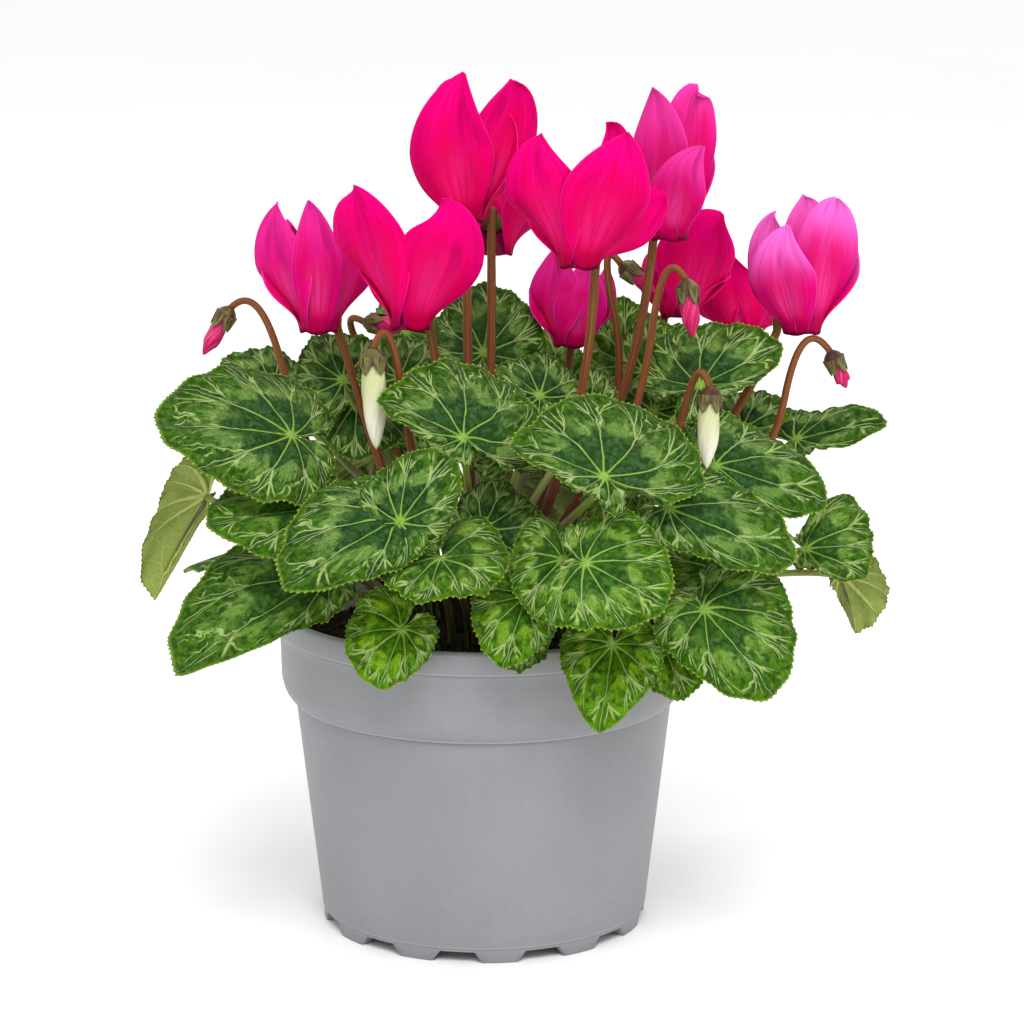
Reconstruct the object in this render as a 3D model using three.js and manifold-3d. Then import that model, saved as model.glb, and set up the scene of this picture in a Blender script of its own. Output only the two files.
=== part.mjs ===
// Potted cyclamen: a grey nursery pot, its soil, leaves on petioles,
// nodding blooms and hooked buds. Millimetres, +Z up. The origin is the centre
// of the pot's underside, on the plane that the pot stands on; -Y faces the
// front of the plant.
import * as THREE from 'three';
import { mergeVertices } from 'three/addons/utils/BufferGeometryUtils.js';
import Module from 'manifold-3d';

const wasm = await Module();
wasm.setup();

const RAD = Math.PI / 180;
const TIDY = 0.04;

// Pot
const POT_SEGMENTS = 36;
const RIM_Z = 94.7;
const RIM_RADIUS = 60.6;
const RIM_WALL = 2.3;
const LIP_Z = 88;
const LIP_STEP = 0.35;
const COLLAR_BOTTOM_Z = 67.5;
const COLLAR_FULL_Z = 74;
const COLLAR_FULL_RADIUS = 59.2;
const WALL_TOP_RADIUS = 55.1;
const WALL_FOOT_RADIUS = 47.5;
const WALL = 1.4;
const FLOOR_Z = 3.3;
const FLOOR = 2.0;
const FOOT_COUNT = 12;
const FOOT_TURN = 6;
const FOOT_HALF_DEG = 7.5;
const FOOT_INNER_RADIUS = 43.3;
const CENTRE_FOOT_RADIUS = 9;
const DRAIN_COUNT = 6;
const DRAIN_RADIUS = 4;
const DRAIN_CIRCLE = 33;

// Soil
const SOIL_Z = 83.5;
const SOIL_GAP = 0.5;
const SOIL_ROUGHNESS = 1.1;
const SOIL_CROWN = 3.5;
const CROWN_Z = SOIL_Z + SOIL_CROWN + 1.5;
const HOLE_DEPTH = 6;
const HOLE_GAP = 0.35;

// Leaves
const BLADE = 0.75;
const TEETH = 10;
const TOOTH_SIZE = 0.045;
const INNER_STEP = 4;
const SINUS_HALF_DEG = 9;
const PETIOLE_SIDES = 4;
const PETIOLE_STEPS = 4;
const PETIOLE_FOOT_RADIUS = 1.25;
const PETIOLE_TIP_RADIUS = 0.95;

// Blooms and buds
const PETAL = 0.7;
const PETAL_TURN = 1.5;
const PETAL_WIDEST = 0.6;
const PETAL_END = 0.12;
const PETAL_WRAP = 14;
const MOUTH_RADIUS = 5.2;
const STEM_SIDES = 5;
const STEM_RADIUS = 1.45;
const STEM_TIP_RADIUS = 1.15;
const BUD_STEM_RADIUS = 1.15;
const BUD_GAP = 0.35;

const material = (name, color, roughness) => {
  const made = new THREE.MeshStandardMaterial({ color, roughness, metalness: 0 });
  made.name = name;
  return made;
};

const materials = {
  pot: material('pot_grey', 0x8d9097, 0.55),
  soil: material('soil_dark', 0x2b211a, 0.95),
  leaf: material('leaf_green', 0x2f6a2a, 0.5),
  red: material('petal_red_pink', 0xe0115f, 0.45),
  magenta: material('petal_magenta', 0xd8188c, 0.45),
  white: material('petal_white', 0xeeeede, 0.5),
  stem: material('stem_brown', 0x7d4030, 0.5),
};

// A small seeded generator, so that every run gives the same plant.
const seeded = (seed) => {
  let state = seed >>> 0;
  return () => {
    state = (state + 0x6d2b79f5) >>> 0;
    let t = state;
    t = Math.imul(t ^ (t >>> 15), t | 1);
    t ^= t + Math.imul(t ^ (t >>> 7), t | 61);
    return ((t ^ (t >>> 14)) >>> 0) / 4294967296;
  };
};

const V = (x, y, z) => new THREE.Vector3(x, y, z);
const clamp01 = (x) => Math.min(1, Math.max(0, x));
const smooth = (x) => {
  const t = clamp01(x);
  return t * t * (3 - 2 * t);
};
const mix = (a, b, t) => a + (b - a) * t;

const toSolid = (geometry) => {
  const bare = new THREE.BufferGeometry();
  bare.setAttribute('position', geometry.getAttribute('position').clone());
  if (geometry.index) bare.setIndex(geometry.index.clone());
  const welded = mergeVertices(bare, 1e-4);
  return new wasm.Manifold(new wasm.Mesh({
    numProp: 3,
    vertProperties: new Float32Array(welded.getAttribute('position').array),
    triVerts: new Uint32Array(welded.index.array),
  }));
};

const toGeometry = (solid) => {
  const mesh = solid.simplify(TIDY).getMesh();
  const points = [];
  for (let i = 0; i < mesh.numVert; i += 1) {
    for (let k = 0; k < 3; k += 1) points.push(mesh.vertProperties[i * mesh.numProp + k]);
  }
  const geometry = new THREE.BufferGeometry();
  geometry.setAttribute('position', new THREE.Float32BufferAttribute(points, 3));
  geometry.setIndex(Array.from(mesh.triVerts));
  geometry.computeVertexNormals();
  return geometry;
};

// A closed solid from points and triangles.
const solidFrom = (points, faces) => {
  const geometry = new THREE.BufferGeometry();
  const flat = points.flatMap((p) => [p.x, p.y, p.z]);
  geometry.setAttribute('position', new THREE.Float32BufferAttribute(flat, 3));
  geometry.setIndex(faces.flat());
  return toSolid(geometry);
};

// The two curved sides of a sheet: point(i, j) is offset half the thickness
// each way along the sheet's own normal, and both sides share their triangles.
const sheetSolid = (points, normals, faces, rim, thickness) => {
  const count = points.length;
  const top = points.map((p, i) => p.clone().addScaledVector(normals[i], thickness / 2));
  const bottom = points.map((p, i) => p.clone().addScaledVector(normals[i], -thickness / 2));
  const all = faces.map(([a, b, c]) => [a, b, c]);
  for (const [a, b, c] of faces) all.push([a + count, c + count, b + count]);
  for (let i = 0; i < rim.length; i += 1) {
    const a = rim[i];
    const b = rim[(i + 1) % rim.length];
    all.push([a, a + count, b + count], [a, b + count, b]);
  }
  return solidFrom([...top, ...bottom], all);
};

// A round bar along a list of points, with a radius at each one.
const barSolid = (path, radii, sides) => {
  const points = [];
  const faces = [];
  let side = null;
  for (let i = 0; i < path.length; i += 1) {
    const before = path[Math.max(0, i - 1)];
    const after = path[Math.min(path.length - 1, i + 1)];
    const along = after.clone().sub(before).normalize();
    if (side === null) side = Math.abs(along.z) > 0.9 ? V(1, 0, 0) : V(0, 0, 1);
    side = side.clone().addScaledVector(along, -side.dot(along)).normalize();
    const other = along.clone().cross(side);
    for (let k = 0; k < sides; k += 1) {
      const turn = (2 * Math.PI * k) / sides;
      points.push(path[i].clone()
        .addScaledVector(side, radii[i] * Math.cos(turn))
        .addScaledVector(other, radii[i] * Math.sin(turn)));
    }
  }
  for (let i = 0; i + 1 < path.length; i += 1) {
    for (let k = 0; k < sides; k += 1) {
      const a = i * sides + k;
      const b = i * sides + ((k + 1) % sides);
      faces.push([a, b, b + sides], [a, b + sides, a + sides]);
    }
  }
  const last = (path.length - 1) * sides;
  for (let k = 1; k + 1 < sides; k += 1) {
    faces.push([0, k + 1, k], [last, last + k, last + k + 1]);
  }
  return solidFrom(points, faces);
};

const bezier = (p0, p1, p2, p3, t) => {
  const s = 1 - t;
  return V(0, 0, 0)
    .addScaledVector(p0, s * s * s)
    .addScaledVector(p1, 3 * s * s * t)
    .addScaledVector(p2, 3 * s * t * t)
    .addScaledVector(p3, t * t * t);
};

// A turned solid about +Z, put on a frame of origin, x, y and z directions.
const turnedSolid = (profile, segments, frame) => {
  const points = profile.map(([r, z]) => new THREE.Vector2(r, z));
  const geometry = new THREE.LatheGeometry(points, segments);
  geometry.rotateX(Math.PI / 2);
  if (frame) geometry.applyMatrix4(frame);
  return toSolid(geometry);
};

// Leaf frame: e1 runs from the joint to the tip, e3 is the upper side.
const leafFrame = (leaf) => {
  const joint = V(...leaf.joint);
  const chord = V(...leaf.tip).sub(joint);
  const reach = chord.length();
  const c = chord.clone().normalize();
  const [lean, tilt] = leaf.face;
  const hint = V(Math.sin(tilt * RAD) * Math.cos(lean * RAD),
    Math.sin(tilt * RAD) * Math.sin(lean * RAD), Math.cos(tilt * RAD));
  const normal = hint.addScaledVector(c, -hint.dot(c)).normalize();
  const droop = (leaf.droop ?? 14) * RAD;
  const half = droop / 2;
  const e1 = c.clone().multiplyScalar(Math.cos(half)).addScaledVector(normal, Math.sin(half));
  const e3 = normal.clone().multiplyScalar(Math.cos(half)).addScaledVector(c, -Math.sin(half));
  const e2 = e3.clone().cross(e1);
  const length = Math.abs(droop) < 1e-4 ? reach : (reach * half) / Math.sin(half);
  return { joint, e1, e2, e3, length, droop };
};

// Distance from the joint to the blade's edge at an angle from the tip, where
// the left side (positive) and the right side have widths and lobes of their own.
const leafRadius = (leaf, length, angle) => {
  const left = angle >= 0;
  const skew = leaf.skew ?? 0;
  const end = 180 - SINUS_HALF_DEG + (left ? skew : -skew);
  const q = Math.abs(angle) / end;
  const wide = left ? leaf.wide[0] : leaf.wide[1];
  const lobe = left ? leaf.lobe[0] : leaf.lobe[1];
  const point = leaf.point ?? 0.08;
  const front = length * (1 - point);
  let r;
  if (q < 0.5) {
    const turn = q * Math.PI;
    r = 1 / Math.hypot(Math.cos(turn) / front, Math.sin(turn) / wide);
    r += point * length * clamp01(1 - q / 0.2) ** 1.4;
  } else {
    r = Math.exp(mix(Math.log(wide), Math.log(lobe), smooth((q - 0.5) / 0.34)));
  }
  return r * (1 - 0.34 * smooth((q - 0.84) / 0.16));
};

// A point of the blade and its height above the flat leaf, bent as real leaves
// are: the midrib droops, the sides arch and the edge waves.
const leafPoint = (leaf, frame, u, v) => {
  const { joint, e1, e2, e3, length, droop } = frame;
  const wide = v >= 0 ? leaf.wide[0] : leaf.wide[1];
  const arch = ((leaf.arch ?? 16) * RAD) / wide;
  const far = Math.hypot(u / length, v / wide);
  const around = Math.atan2(v, u);
  const wave = (leaf.wave ?? 1.2) * smooth(far) * Math.sin(5 * around + (leaf.phase ?? 0));
  const groove = (leaf.fold ?? 0.8) * (1 - Math.exp(-Math.abs(v) / 5));
  const turn = arch * Math.abs(v);
  const side = arch === 0 ? v : (Math.sign(v) * Math.sin(turn)) / arch;
  const rise = (arch === 0 ? 0 : -(1 - Math.cos(turn)) / arch) + wave + groove;
  const bend = droop / length;
  const angle = bend * Math.max(0, u);
  const x = u > 0 && bend !== 0 ? Math.sin(angle) / bend : u;
  const z = u > 0 && bend !== 0 ? -(1 - Math.cos(angle)) / bend : 0;
  return joint.clone()
    .addScaledVector(e1, x + rise * Math.sin(angle))
    .addScaledVector(e2, side)
    .addScaledVector(e3, z + rise * Math.cos(angle));
};

const leafNormal = (leaf, frame, u, v) => {
  const d = 0.4;
  const du = leafPoint(leaf, frame, u + d, v).sub(leafPoint(leaf, frame, u - d, v));
  const dv = leafPoint(leaf, frame, u, v + d).sub(leafPoint(leaf, frame, u, v - d));
  return du.cross(dv).normalize();
};

const bladeSolid = (leaf) => {
  const frame = leafFrame(leaf);
  const skew = leaf.skew ?? 0;
  const start = -(180 - SINUS_HALF_DEG - skew);
  const stop = 180 - SINUS_HALF_DEG + skew;
  const steps = TEETH * 2;
  const flat = [[0, 0]];
  for (let i = 0; i <= steps; i += INNER_STEP) {
    const angle = mix(start, stop, i / steps);
    const r = 0.56 * leafRadius(leaf, frame.length, angle);
    flat.push([r * Math.cos(angle * RAD), r * Math.sin(angle * RAD)]);
  }
  const outer = flat.length;
  for (let i = 0; i <= steps; i += 1) {
    const angle = mix(start, stop, i / steps);
    const tooth = i % 2 === 0 ? 1 + TOOTH_SIZE : 1 - TOOTH_SIZE;
    const r = leafRadius(leaf, frame.length, angle) * tooth;
    flat.push([r * Math.cos(angle * RAD), r * Math.sin(angle * RAD)]);
  }
  const faces = [];
  for (let i = 0; i < steps / INNER_STEP; i += 1) {
    const a = 1 + i;
    const c = outer + INNER_STEP * i;
    faces.push([0, a, a + 1], [a, c + INNER_STEP / 2, a + 1]);
    for (let k = 0; k < INNER_STEP; k += 1) {
      faces.push([k < INNER_STEP / 2 ? a : a + 1, c + k, c + k + 1]);
    }
  }
  const rim = [0, 1];
  for (let i = 0; i <= steps; i += 1) rim.push(outer + i);
  rim.push(outer - 1);
  const points = flat.map(([u, v]) => leafPoint(leaf, frame, u, v));
  const normals = flat.map(([u, v]) => leafNormal(leaf, frame, u, v));
  return sheetSolid(points, normals, faces, rim, BLADE);
};

const petiolePath = (leaf, steps) => {
  const { joint, e1, e3 } = leafFrame(leaf);
  const foot = V(leaf.foot[0], leaf.foot[1], CROWN_Z);
  const out = V(joint.x - foot.x, joint.y - foot.y, 0);
  const rise = joint.z - foot.z;
  const p1 = foot.clone().addScaledVector(out, 0.1).add(V(0, 0, rise * (leaf.lift ?? 0.5) + 3));
  const p2 = joint.clone().addScaledVector(e3, -(leaf.drop ?? 11)).addScaledVector(e1, -4);
  if (leaf.via) p2.set(...leaf.via);
  const path = [V(foot.x, foot.y, SOIL_Z - HOLE_DEPTH + 1)];
  for (let i = 0; i <= steps; i += 1) path.push(bezier(foot, p1, p2, joint, i / steps));
  return path;
};

const petioleSolid = (leaf) => {
  const path = petiolePath(leaf, PETIOLE_STEPS);
  const last = path.length - 1;
  const radii = path.map((p, i) => mix(PETIOLE_FOOT_RADIUS, PETIOLE_TIP_RADIUS, i / last));
  return barSolid(path, radii, PETIOLE_SIDES);
};

const leafSolid = (leaf) => petioleSolid(leaf).add(bladeSolid(leaf));

// Leaves. joint and tip are places in the plant; face is the direction that the
// upper side leans to and how far, in degrees; wide and lobe are the blade's
// reach from the joint to its left and right edges and lobes. The leaves of one
// entry grow from one point of the crown and are one body.
const leafGroups = {
  leaf_left_top: { foot: [-16, -4], leaves: [
    { joint: [-53, -40, 152], tip: [-90, -52, 157], face: [-110, 42], wide: [25, 28], lobe: [15, 17],
      point: 0.04 },
  ] },
  leaf_left_middle: { foot: [-19, -12], leaves: [
    { joint: [-46, -50, 133], tip: [-76, -60, 131], face: [-120, 47], wide: [20, 20], lobe: [14, 14] },
  ] },
  leaves_front_left: { foot: [-9, -19], leaves: [
    { joint: [-23, -66, 134], tip: [-53, -86, 119], face: [-100, 42], wide: [14, 25], lobe: [12, 17],
      skew: 20 },
    { joint: [-22, -69, 134], tip: [-8, -67, 152], face: [-95, 60], wide: [15, 13], lobe: [9, 9],
      droop: 6, point: 0.02 },
  ] },
  leaf_left_low: { foot: [-22, -18], leaves: [
    { joint: [-43, -52, 114], tip: [-83.5, -72, 92.5], face: [-115, 52], wide: [12, 29], lobe: [8, 14],
      point: 0.02 },
  ] },
  leaf_far_left: { foot: [-26, -4], leaves: [
    { joint: [-80, -5, 127], tip: [-98, 0, 95], face: [105, 74], wide: [14.5, 1.8], lobe: [19, 3] },
  ] },
  leaves_back_left_top: { foot: [-15, 8], leaves: [
    { joint: [-41, 8, 159], tip: [-48, 17, 171], face: [-98, 34], wide: [14, 16], lobe: [12, 14] },
    { joint: [-24, -10, 163], tip: [-26, -1, 174], face: [-95, 34], wide: [12, 14], lobe: [10, 13] },
    { joint: [-62, 12, 156], tip: [-76, 20, 164], face: [170, 45], wide: [13, 13], lobe: [10, 10] },
    { joint: [-37, 12, 152], tip: [-38, 6, 135], face: [-92, 66], wide: [18, 13], lobe: [13, 8] },
    { joint: [-18, 16, 138], tip: [-9, 24, 140], face: [-116, 44], wide: [12, 11], lobe: [9, 8] },
  ] },
  leaf_top_back: { foot: [-2, 14], leaves: [
    { joint: [0, 26, 164], tip: [3, 42, 182], face: [-90, 34], wide: [19, 19], lobe: [14, 15] },
  ] },
  leaf_front_top_left: { foot: [-2, -11], leaves: [
    { joint: [-5, -58, 155], tip: [-29, -55, 165], face: [-95, 38], wide: [9, 28], lobe: [9, 22],
      skew: -26 },
  ] },
  leaf_front_middle_left: { foot: [-4, -24], leaves: [
    { joint: [-11, -70, 124], tip: [-15, -86, 115], face: [-95, 30], wide: [19, 19], lobe: [21, 14],
      skew: 24 },
  ] },
  leaf_front_round: { foot: [-12, -26], leaves: [
    { joint: [-22, -62, 102], tip: [-28, -70, 87], face: [-100, 62], wide: [11, 16], lobe: [10, 14],
      skew: -16, point: 0.02 },
  ] },
  leaves_front_low: { foot: [2, -29], leaves: [
    { joint: [12, -66, 112], tip: [6, -78, 95], face: [-95, 55], wide: [12, 15], lobe: [9, 11] },
    { joint: [11, -58, 97.6], tip: [11, -66, 90.6], face: [-90, 50], wide: [8, 8], lobe: [6, 6] },
  ] },
  leaves_front_centre: { foot: [8, -22], leaves: [
    { joint: [22, -68, 123], tip: [18, -78, 107], face: [-100, 50], wide: [12, 15], lobe: [14, 16] },
    { joint: [28, -80, 125], tip: [50, -90, 115], face: [-80, 55], wide: [21, 20], lobe: [13, 7] },
  ] },
  leaf_front_top_wide: { foot: [8, -13], leaves: [
    { joint: [33, -72, 147], tip: [7, -66, 155], face: [-92, 38], wide: [8, 31], lobe: [12, 29],
      skew: -10 },
  ] },
  leaf_right_middle: { foot: [17, -17], leaves: [
    { joint: [51, -62, 136], tip: [86, -60, 120], face: [-80, 42], wide: [22, 13], lobe: [16, 11] },
  ] },
  leaf_right_upper: { foot: [23, -10], leaves: [
    { joint: [65, -38, 143], tip: [97, -34, 131], face: [-75, 40], wide: [22, 13], lobe: [12, 12],
      via: [62, -22, 125] },
  ] },
  leaf_right_low: { foot: [22, -23], leaves: [
    { joint: [61, -60, 107], tip: [80.5, -70, 85], face: [-72, 62], wide: [26, 16], lobe: [18, 9],
      skew: -26, via: [52, -42, 116] },
  ] },
  leaves_front_hanging: { foot: [14, -30], leaves: [
    { joint: [36, -64, 98], tip: [32, -80, 77], face: [-92, 60], wide: [15, 15], lobe: [12, 12],
      point: 0.25, via: [31, -53, 108] },
    { joint: [49, -53, 98], tip: [56, -63, 82], face: [-80, 58], wide: [14, 12], lobe: [9, 9],
      via: [38, -43, 108] },
    { joint: [41, -53, 138], tip: [28, -45, 136], face: [-86, 39], wide: [12, 17], lobe: [9, 13] },
  ] },
  leaves_far_right_low: { foot: [27, -6], leaves: [
    { joint: [93, -10, 112.5], tip: [111, -15, 106], face: [-60, 55], wide: [26, 7], lobe: [6, 2],
      skew: -12, via: [84, -8, 110] },
    { joint: [104, -2, 103], tip: [110, 2, 84.5], face: [70, 66], wide: [4, 15], lobe: [3, 13],
      via: [88, 0, 106] },
    { joint: [66, -33, 112], tip: [50, -38, 109], face: [-80, 53], wide: [21, 16], lobe: [16, 12] },
  ] },
  leaf_far_right: { foot: [26, 8], leaves: [
    { joint: [92, 14, 140], tip: [118, 12, 146], face: [-60, 38], wide: [12, 7], lobe: [20, 5],
      skew: -16 },
  ] },
  leaves_right_top: { foot: [18, -4], leaves: [
    { joint: [62, -12, 161], tip: [86, -6, 171], face: [-85, 35], wide: [25, 9.5], lobe: [18, 14] },
    { joint: [76, 15, 143], tip: [89, 22, 149], face: [-70, 38], wide: [15, 8], lobe: [10, 8] },
  ] },
  leaves_top_middle: { foot: [1, -17], leaves: [
    { joint: [16, -12, 158], tip: [4, -5, 166], face: [-90, 32], wide: [8, 16], lobe: [8, 14] },
    { joint: [5, -38, 146], tip: [-3, -34, 154], face: [-90, 35], wide: [10, 14], lobe: [8, 12] },
    { joint: [30, -6, 152], tip: [33, 1, 164], face: [-90, 40], wide: [9, 9], lobe: [8, 8] },
    { joint: [0, -48, 127], tip: [7, -39, 139], face: [-93, 69], wide: [11, 20], lobe: [8, 15] },
  ] },
  leaves_right_back: { foot: [22, 12], leaves: [
    { joint: [53, 20, 160], tip: [63, 28, 170], face: [-85, 30], wide: [15, 12], lobe: [14, 12] },
    { joint: [47, 16, 160], tip: [49, 26, 176], face: [-88, 36], wide: [9, 14], lobe: [8, 12] },
    { joint: [50, 17, 148], tip: [62, 24, 158], face: [-64, 54], wide: [14, 13], lobe: [11, 10] },
    { joint: [64, 28, 116], tip: [96, 40, 103], face: [28, 42], wide: [22, 21], lobe: [16, 13] },
    { joint: [46, 52, 106], tip: [68, 78, 89], face: [48, 54], wide: [21, 21], lobe: [15, 15] },
  ] },
  leaves_back_left: { foot: [-13, 16], leaves: [
    { joint: [-57, 24, 106], tip: [-90, 38, 94], face: [158, 50], wide: [21, 21], lobe: [15, 15] },
    { joint: [-42, 38, 134], tip: [-68, 62, 126], face: [138, 40], wide: [22, 22], lobe: [16, 16] },
    { joint: [-28, 54, 104], tip: [-46, 84, 88], face: [118, 52], wide: [21, 18], lobe: [15, 13] },
    { joint: [-32, 28, 132], tip: [-40, 50, 111], face: [112, 54], wide: [16, 10], lobe: [6, 6],
      lift: 0.2, via: [-40, 30, 116] },
    { joint: [-24, 46, 167], tip: [-8, 56, 161], face: [-96, 45], wide: [14, 12], lobe: [11, 9] },
  ] },
  leaves_back_right: { foot: [4, 22], leaves: [
    { joint: [9, 63, 102], tip: [13, 97, 86], face: [84, 54], wide: [17, 20], lobe: [12, 15] },
    { joint: [10, 44, 122], tip: [13, 66, 101], face: [88, 56], wide: [20, 22], lobe: [11, 13] },
    { joint: [-10, 52, 130], tip: [-17, 88, 120], face: [101, 40], wide: [22, 22], lobe: [16, 16] },
    { joint: [22, 52, 128], tip: [37, 84, 118], face: [66, 42], wide: [22, 22], lobe: [16, 16] },
    { joint: [0, 40, 151], tip: [0, 72, 147], face: [90, 26], wide: [20, 20], lobe: [15, 15] },
    { joint: [43, 46, 157], tip: [42, 56, 176], face: [-88, 38], wide: [13, 13], lobe: [10, 10] },
    { joint: [21, 48, 150], tip: [22, 60, 166], face: [-90, 38], wide: [13, 11], lobe: [9, 9] },
  ] },
};

// Blooms: mouth is the centre of the flower's mouth, which faces down, axis the
// way that the turned-up petals point, stem the direction of the stem beside the
// mouth. A petal has the direction it leaves the mouth in, half its width, how
// far its face twists, the across and up places of its middle, and its tip.
const blooms = {
  1: { color: 'magenta', mouth: [-47, -5, 177], axis: [0, 0, 1], stem: 50, foot: [-8, 2],
    arrive: [-0.3, 0, 0.95],
    petals: [
      [-165, 10, 55, [-11, 19], [-11, -3, 36]],
      [-90, 7.5, 5, [0, 21], [-2, -7, 37]],
      [-12, 8, -55, [9, 17], [13, -2, 26]],
      [108, 8, -10, [-3, 16], [-3, 9, 28]],
      [165, 9, -50, [-9, 16], [-8, 6, 29]]] },
  2: { color: 'red', mouth: [-20, -30, 182], axis: [0, 0, 1], stem: 50, foot: [-5, -5],
    arrive: [-0.19, 0, 0.98],
    petals: [
      [-165, 11.5, 62, [-12, 26], [-15, -9, 39]],
      [-62, 12.8, -20, [10, 22], [9, -13, 36]],
      [-10, 9, 40, [12, 15], [13, 4, 24]],
      [112, 9, -20, [-4, 13], [-4, 11, 22]],
      [165, 8, -50, [-9, 20], [-11, 7, 30]]] },
  3: { color: 'red', mouth: [-5, -8, 209], axis: [0, 0, 1], stem: 88, foot: [-2, 1],
    arrive: [0, 0, 1],
    petals: [
      [-95, 13.3, 5, [-4, 21], [0, -6, 41]],
      [-18, 10.6, -50, [12, 23], [14, 3, 38]],
      [20, 8, 30, [11, 18], [12, 6, 30]],
      [145, 7.5, -40, [-7, 17], [-7, 9, 32]],
      [-170, 9, 50, [-6, 25], [-3, 6, 37]]] },
  4: { color: 'red', mouth: [3, 24, 195], axis: [0, 0, 1], stem: -95, foot: [1, 7],
    arrive: [0, 0, 1],
    petals: [
      [-14, 9, -30, [12, 13], [19, -3, 22]],
      [-166, 8, 20, [-8, 13], [-9, 0, 25]],
      [50, 9, 20, [8, 13], [9, 10, 25]],
      [96, 9, -10, [2, 13], [2, 12, 28]],
      [168, 9, -45, [-7, 13], [-7, 6, 25]]] },
  5: { color: 'red', mouth: [27, -35, 200], axis: [0, 0, 1], stem: 55, foot: [4, -4],
    arrive: [0.04, 0, 1],
    petals: [
      [-158, 12, 58, [-11, 21], [-11, -7, 36]],
      [-62, 13.3, -20, [8, 21], [12, -13, 37]],
      [-10, 8, -50, [16, 12], [24, 2, 18]],
      [-14, 7, -40, [10, 24], [8, 5, 38]],
      [125, 9, -45, [-7, 16], [-6, 8, 27]]] },
  6: { color: 'magenta', mouth: [53, 0, 203], axis: [0, 0, 1], stem: 120, foot: [8, 2],
    arrive: [0.09, 0, 1],
    petals: [
      [-150, 9.5, 50, [-3, 24], [-5, -4, 42]],
      [-70, 8, -15, [3, 15], [9, -9, 26]],
      [-25, 8.5, -50, [6, 30], [8, -2, 41]],
      [45, 9, 30, [6, 20], [4, 8, 31]],
      [-172, 7, 45, [-7, 8], [-10, 4, 13]]] },
  7: { color: 'magenta', mouth: [26, 30, 167], axis: [0, 0, 1], stem: 90, foot: [4, 13],
    arrive: [0.1, 0.1, 1],
    petals: [
      [-155, 9, 55, [-5, 15], [-5, -3, 28]],
      [-80, 8, -5, [3, 13], [4, -5, 24]],
      [-5, 4.5, -50, [9, 12], [10, 0, 21]],
      [20, 6, 30, [9, 9], [9, 4, 18]],
      [165, 7, -30, [-8, 11], [-7, 4, 22]]] },
  8: { color: 'red', mouth: [58, 34, 175], axis: [0, 0, 1], stem: 120, foot: [9, 12],
    arrive: [0.2, 0.1, 1],
    petals: [
      [-50, 13, -25, [6, 19], [12, -6, 30]],
      [-150, 7.5, 40, [-6, 8], [-7, -2, 13]],
      [15, 8, 40, [10, 10], [14, 7, 17]],
      [44, 8, 20, [9, 12], [9, 7, 22]],
      [-176, 7, 50, [-8, 10], [-7, 4, 17]]] },
  9: { color: 'red', mouth: [79, 56, 166], axis: [0, 0, 1], stem: 90, foot: [13, 15],
    arrive: [0.35, -0.2, 0.95],
    petals: [
      [-100, 11.5, 10, [-4, 12], [-4, -5, 23]],
      [-40, 10, -30, [8, 9], [9, -4, 19]],
      [22, 7, 40, [8, 9], [8, 5, 19]],
      [164, 7, -30, [-8, 10], [-8, 4, 20]],
      [-170, 9, 50, [-9, 8], [-10, 0, 17]]] },
  10: { color: 'magenta', mouth: [92, 5, 175], axis: [0, 0, 1], stem: 150, foot: [14, 2],
    arrive: [0.39, 0, 0.92],
    petals: [
      [-118, 10.5, 22, [-7, 17], [-5, -9, 31]],
      [-150, 9, 40, [-9, 19], [-8, 2, 33]],
      [-35, 10, -45, [7, 25], [9, -4, 38]],
      [35, 9, 35, [10, 17], [12, 8, 29]],
      [84, 8.5, 5, [2, 24], [1, 9, 37]]] },
};

// Buds: the stalk rises to the shoulder and hooks over the corner point to the
// calyx, from which the closed petals hang down to their tip.
const buds = {
  1: { color: 'red', foot: [-20, 1], shoulder: [-58, -8, 168],
    corner: [-64, -8, 191], calyx: [-72, -8, 182.5], tip: [-80, -8, 169], girth: 2.4, cup: 3.0 },
  2: { color: 'white', foot: [-10, -8], shoulder: [-23, -42, 170],
    corner: [-26, -44, 189], calyx: [-30, -46, 177], tip: [-29, -50, 150], girth: 3.4, cup: 3.7 },
  3: { color: 'magenta', foot: [6, 7], shoulder: [38, 13, 178],
    corner: [33, 13, 202], calyx: [40, 13, 192], tip: [50, 13, 184], girth: 2.3, cup: 3.0 },
  4: { color: 'magenta', foot: [10, -6], shoulder: [48, -20, 180],
    corner: [51, -22, 204], calyx: [57, -24, 193], tip: [59, -26, 177], girth: 2.6, cup: 3.2 },
  5: { color: 'white', foot: [15, -10], shoulder: [57, -38, 162],
    corner: [60, -42, 176], calyx: [63, -44, 166], tip: [62, -48, 144], girth: 3.0, cup: 3.5 },
  6: { color: 'red', foot: [20, 4], shoulder: [86.5, -6, 156],
    corner: [91, -6, 182], calyx: [99.5, -6, 169.5], tip: [104.3, -6, 159], girth: 2.2, cup: 3.0 },
  7: { color: 'magenta', foot: [-7, 12], shoulder: [-36, 26, 164],
    corner: [-43, 24, 178], calyx: [-35, 20, 174], tip: [-23, 16, 173], girth: 2.6, cup: 2.8 },
};

const frameOf = (origin, axis) => {
  const z = V(...axis).normalize();
  const x = V(1, 0, 0).addScaledVector(z, -z.x).normalize();
  const y = z.clone().cross(x);
  return new THREE.Matrix4().makeBasis(x, y, z).setPosition(...origin);
};

// Half the width of a petal as a share: the more it twists, the slimmer its neck.
const petalWidth = (t, twist) => (t < PETAL_WIDEST
  ? mix(0.28, 1, Math.sin((Math.PI / 2) * (t / PETAL_WIDEST)) ** (1.4 + Math.abs(twist) / 30))
  : Math.max(PETAL_END, Math.max(0, 1 - ((t - PETAL_WIDEST) / (1 - PETAL_WIDEST)) ** 2) ** 0.85));

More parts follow.
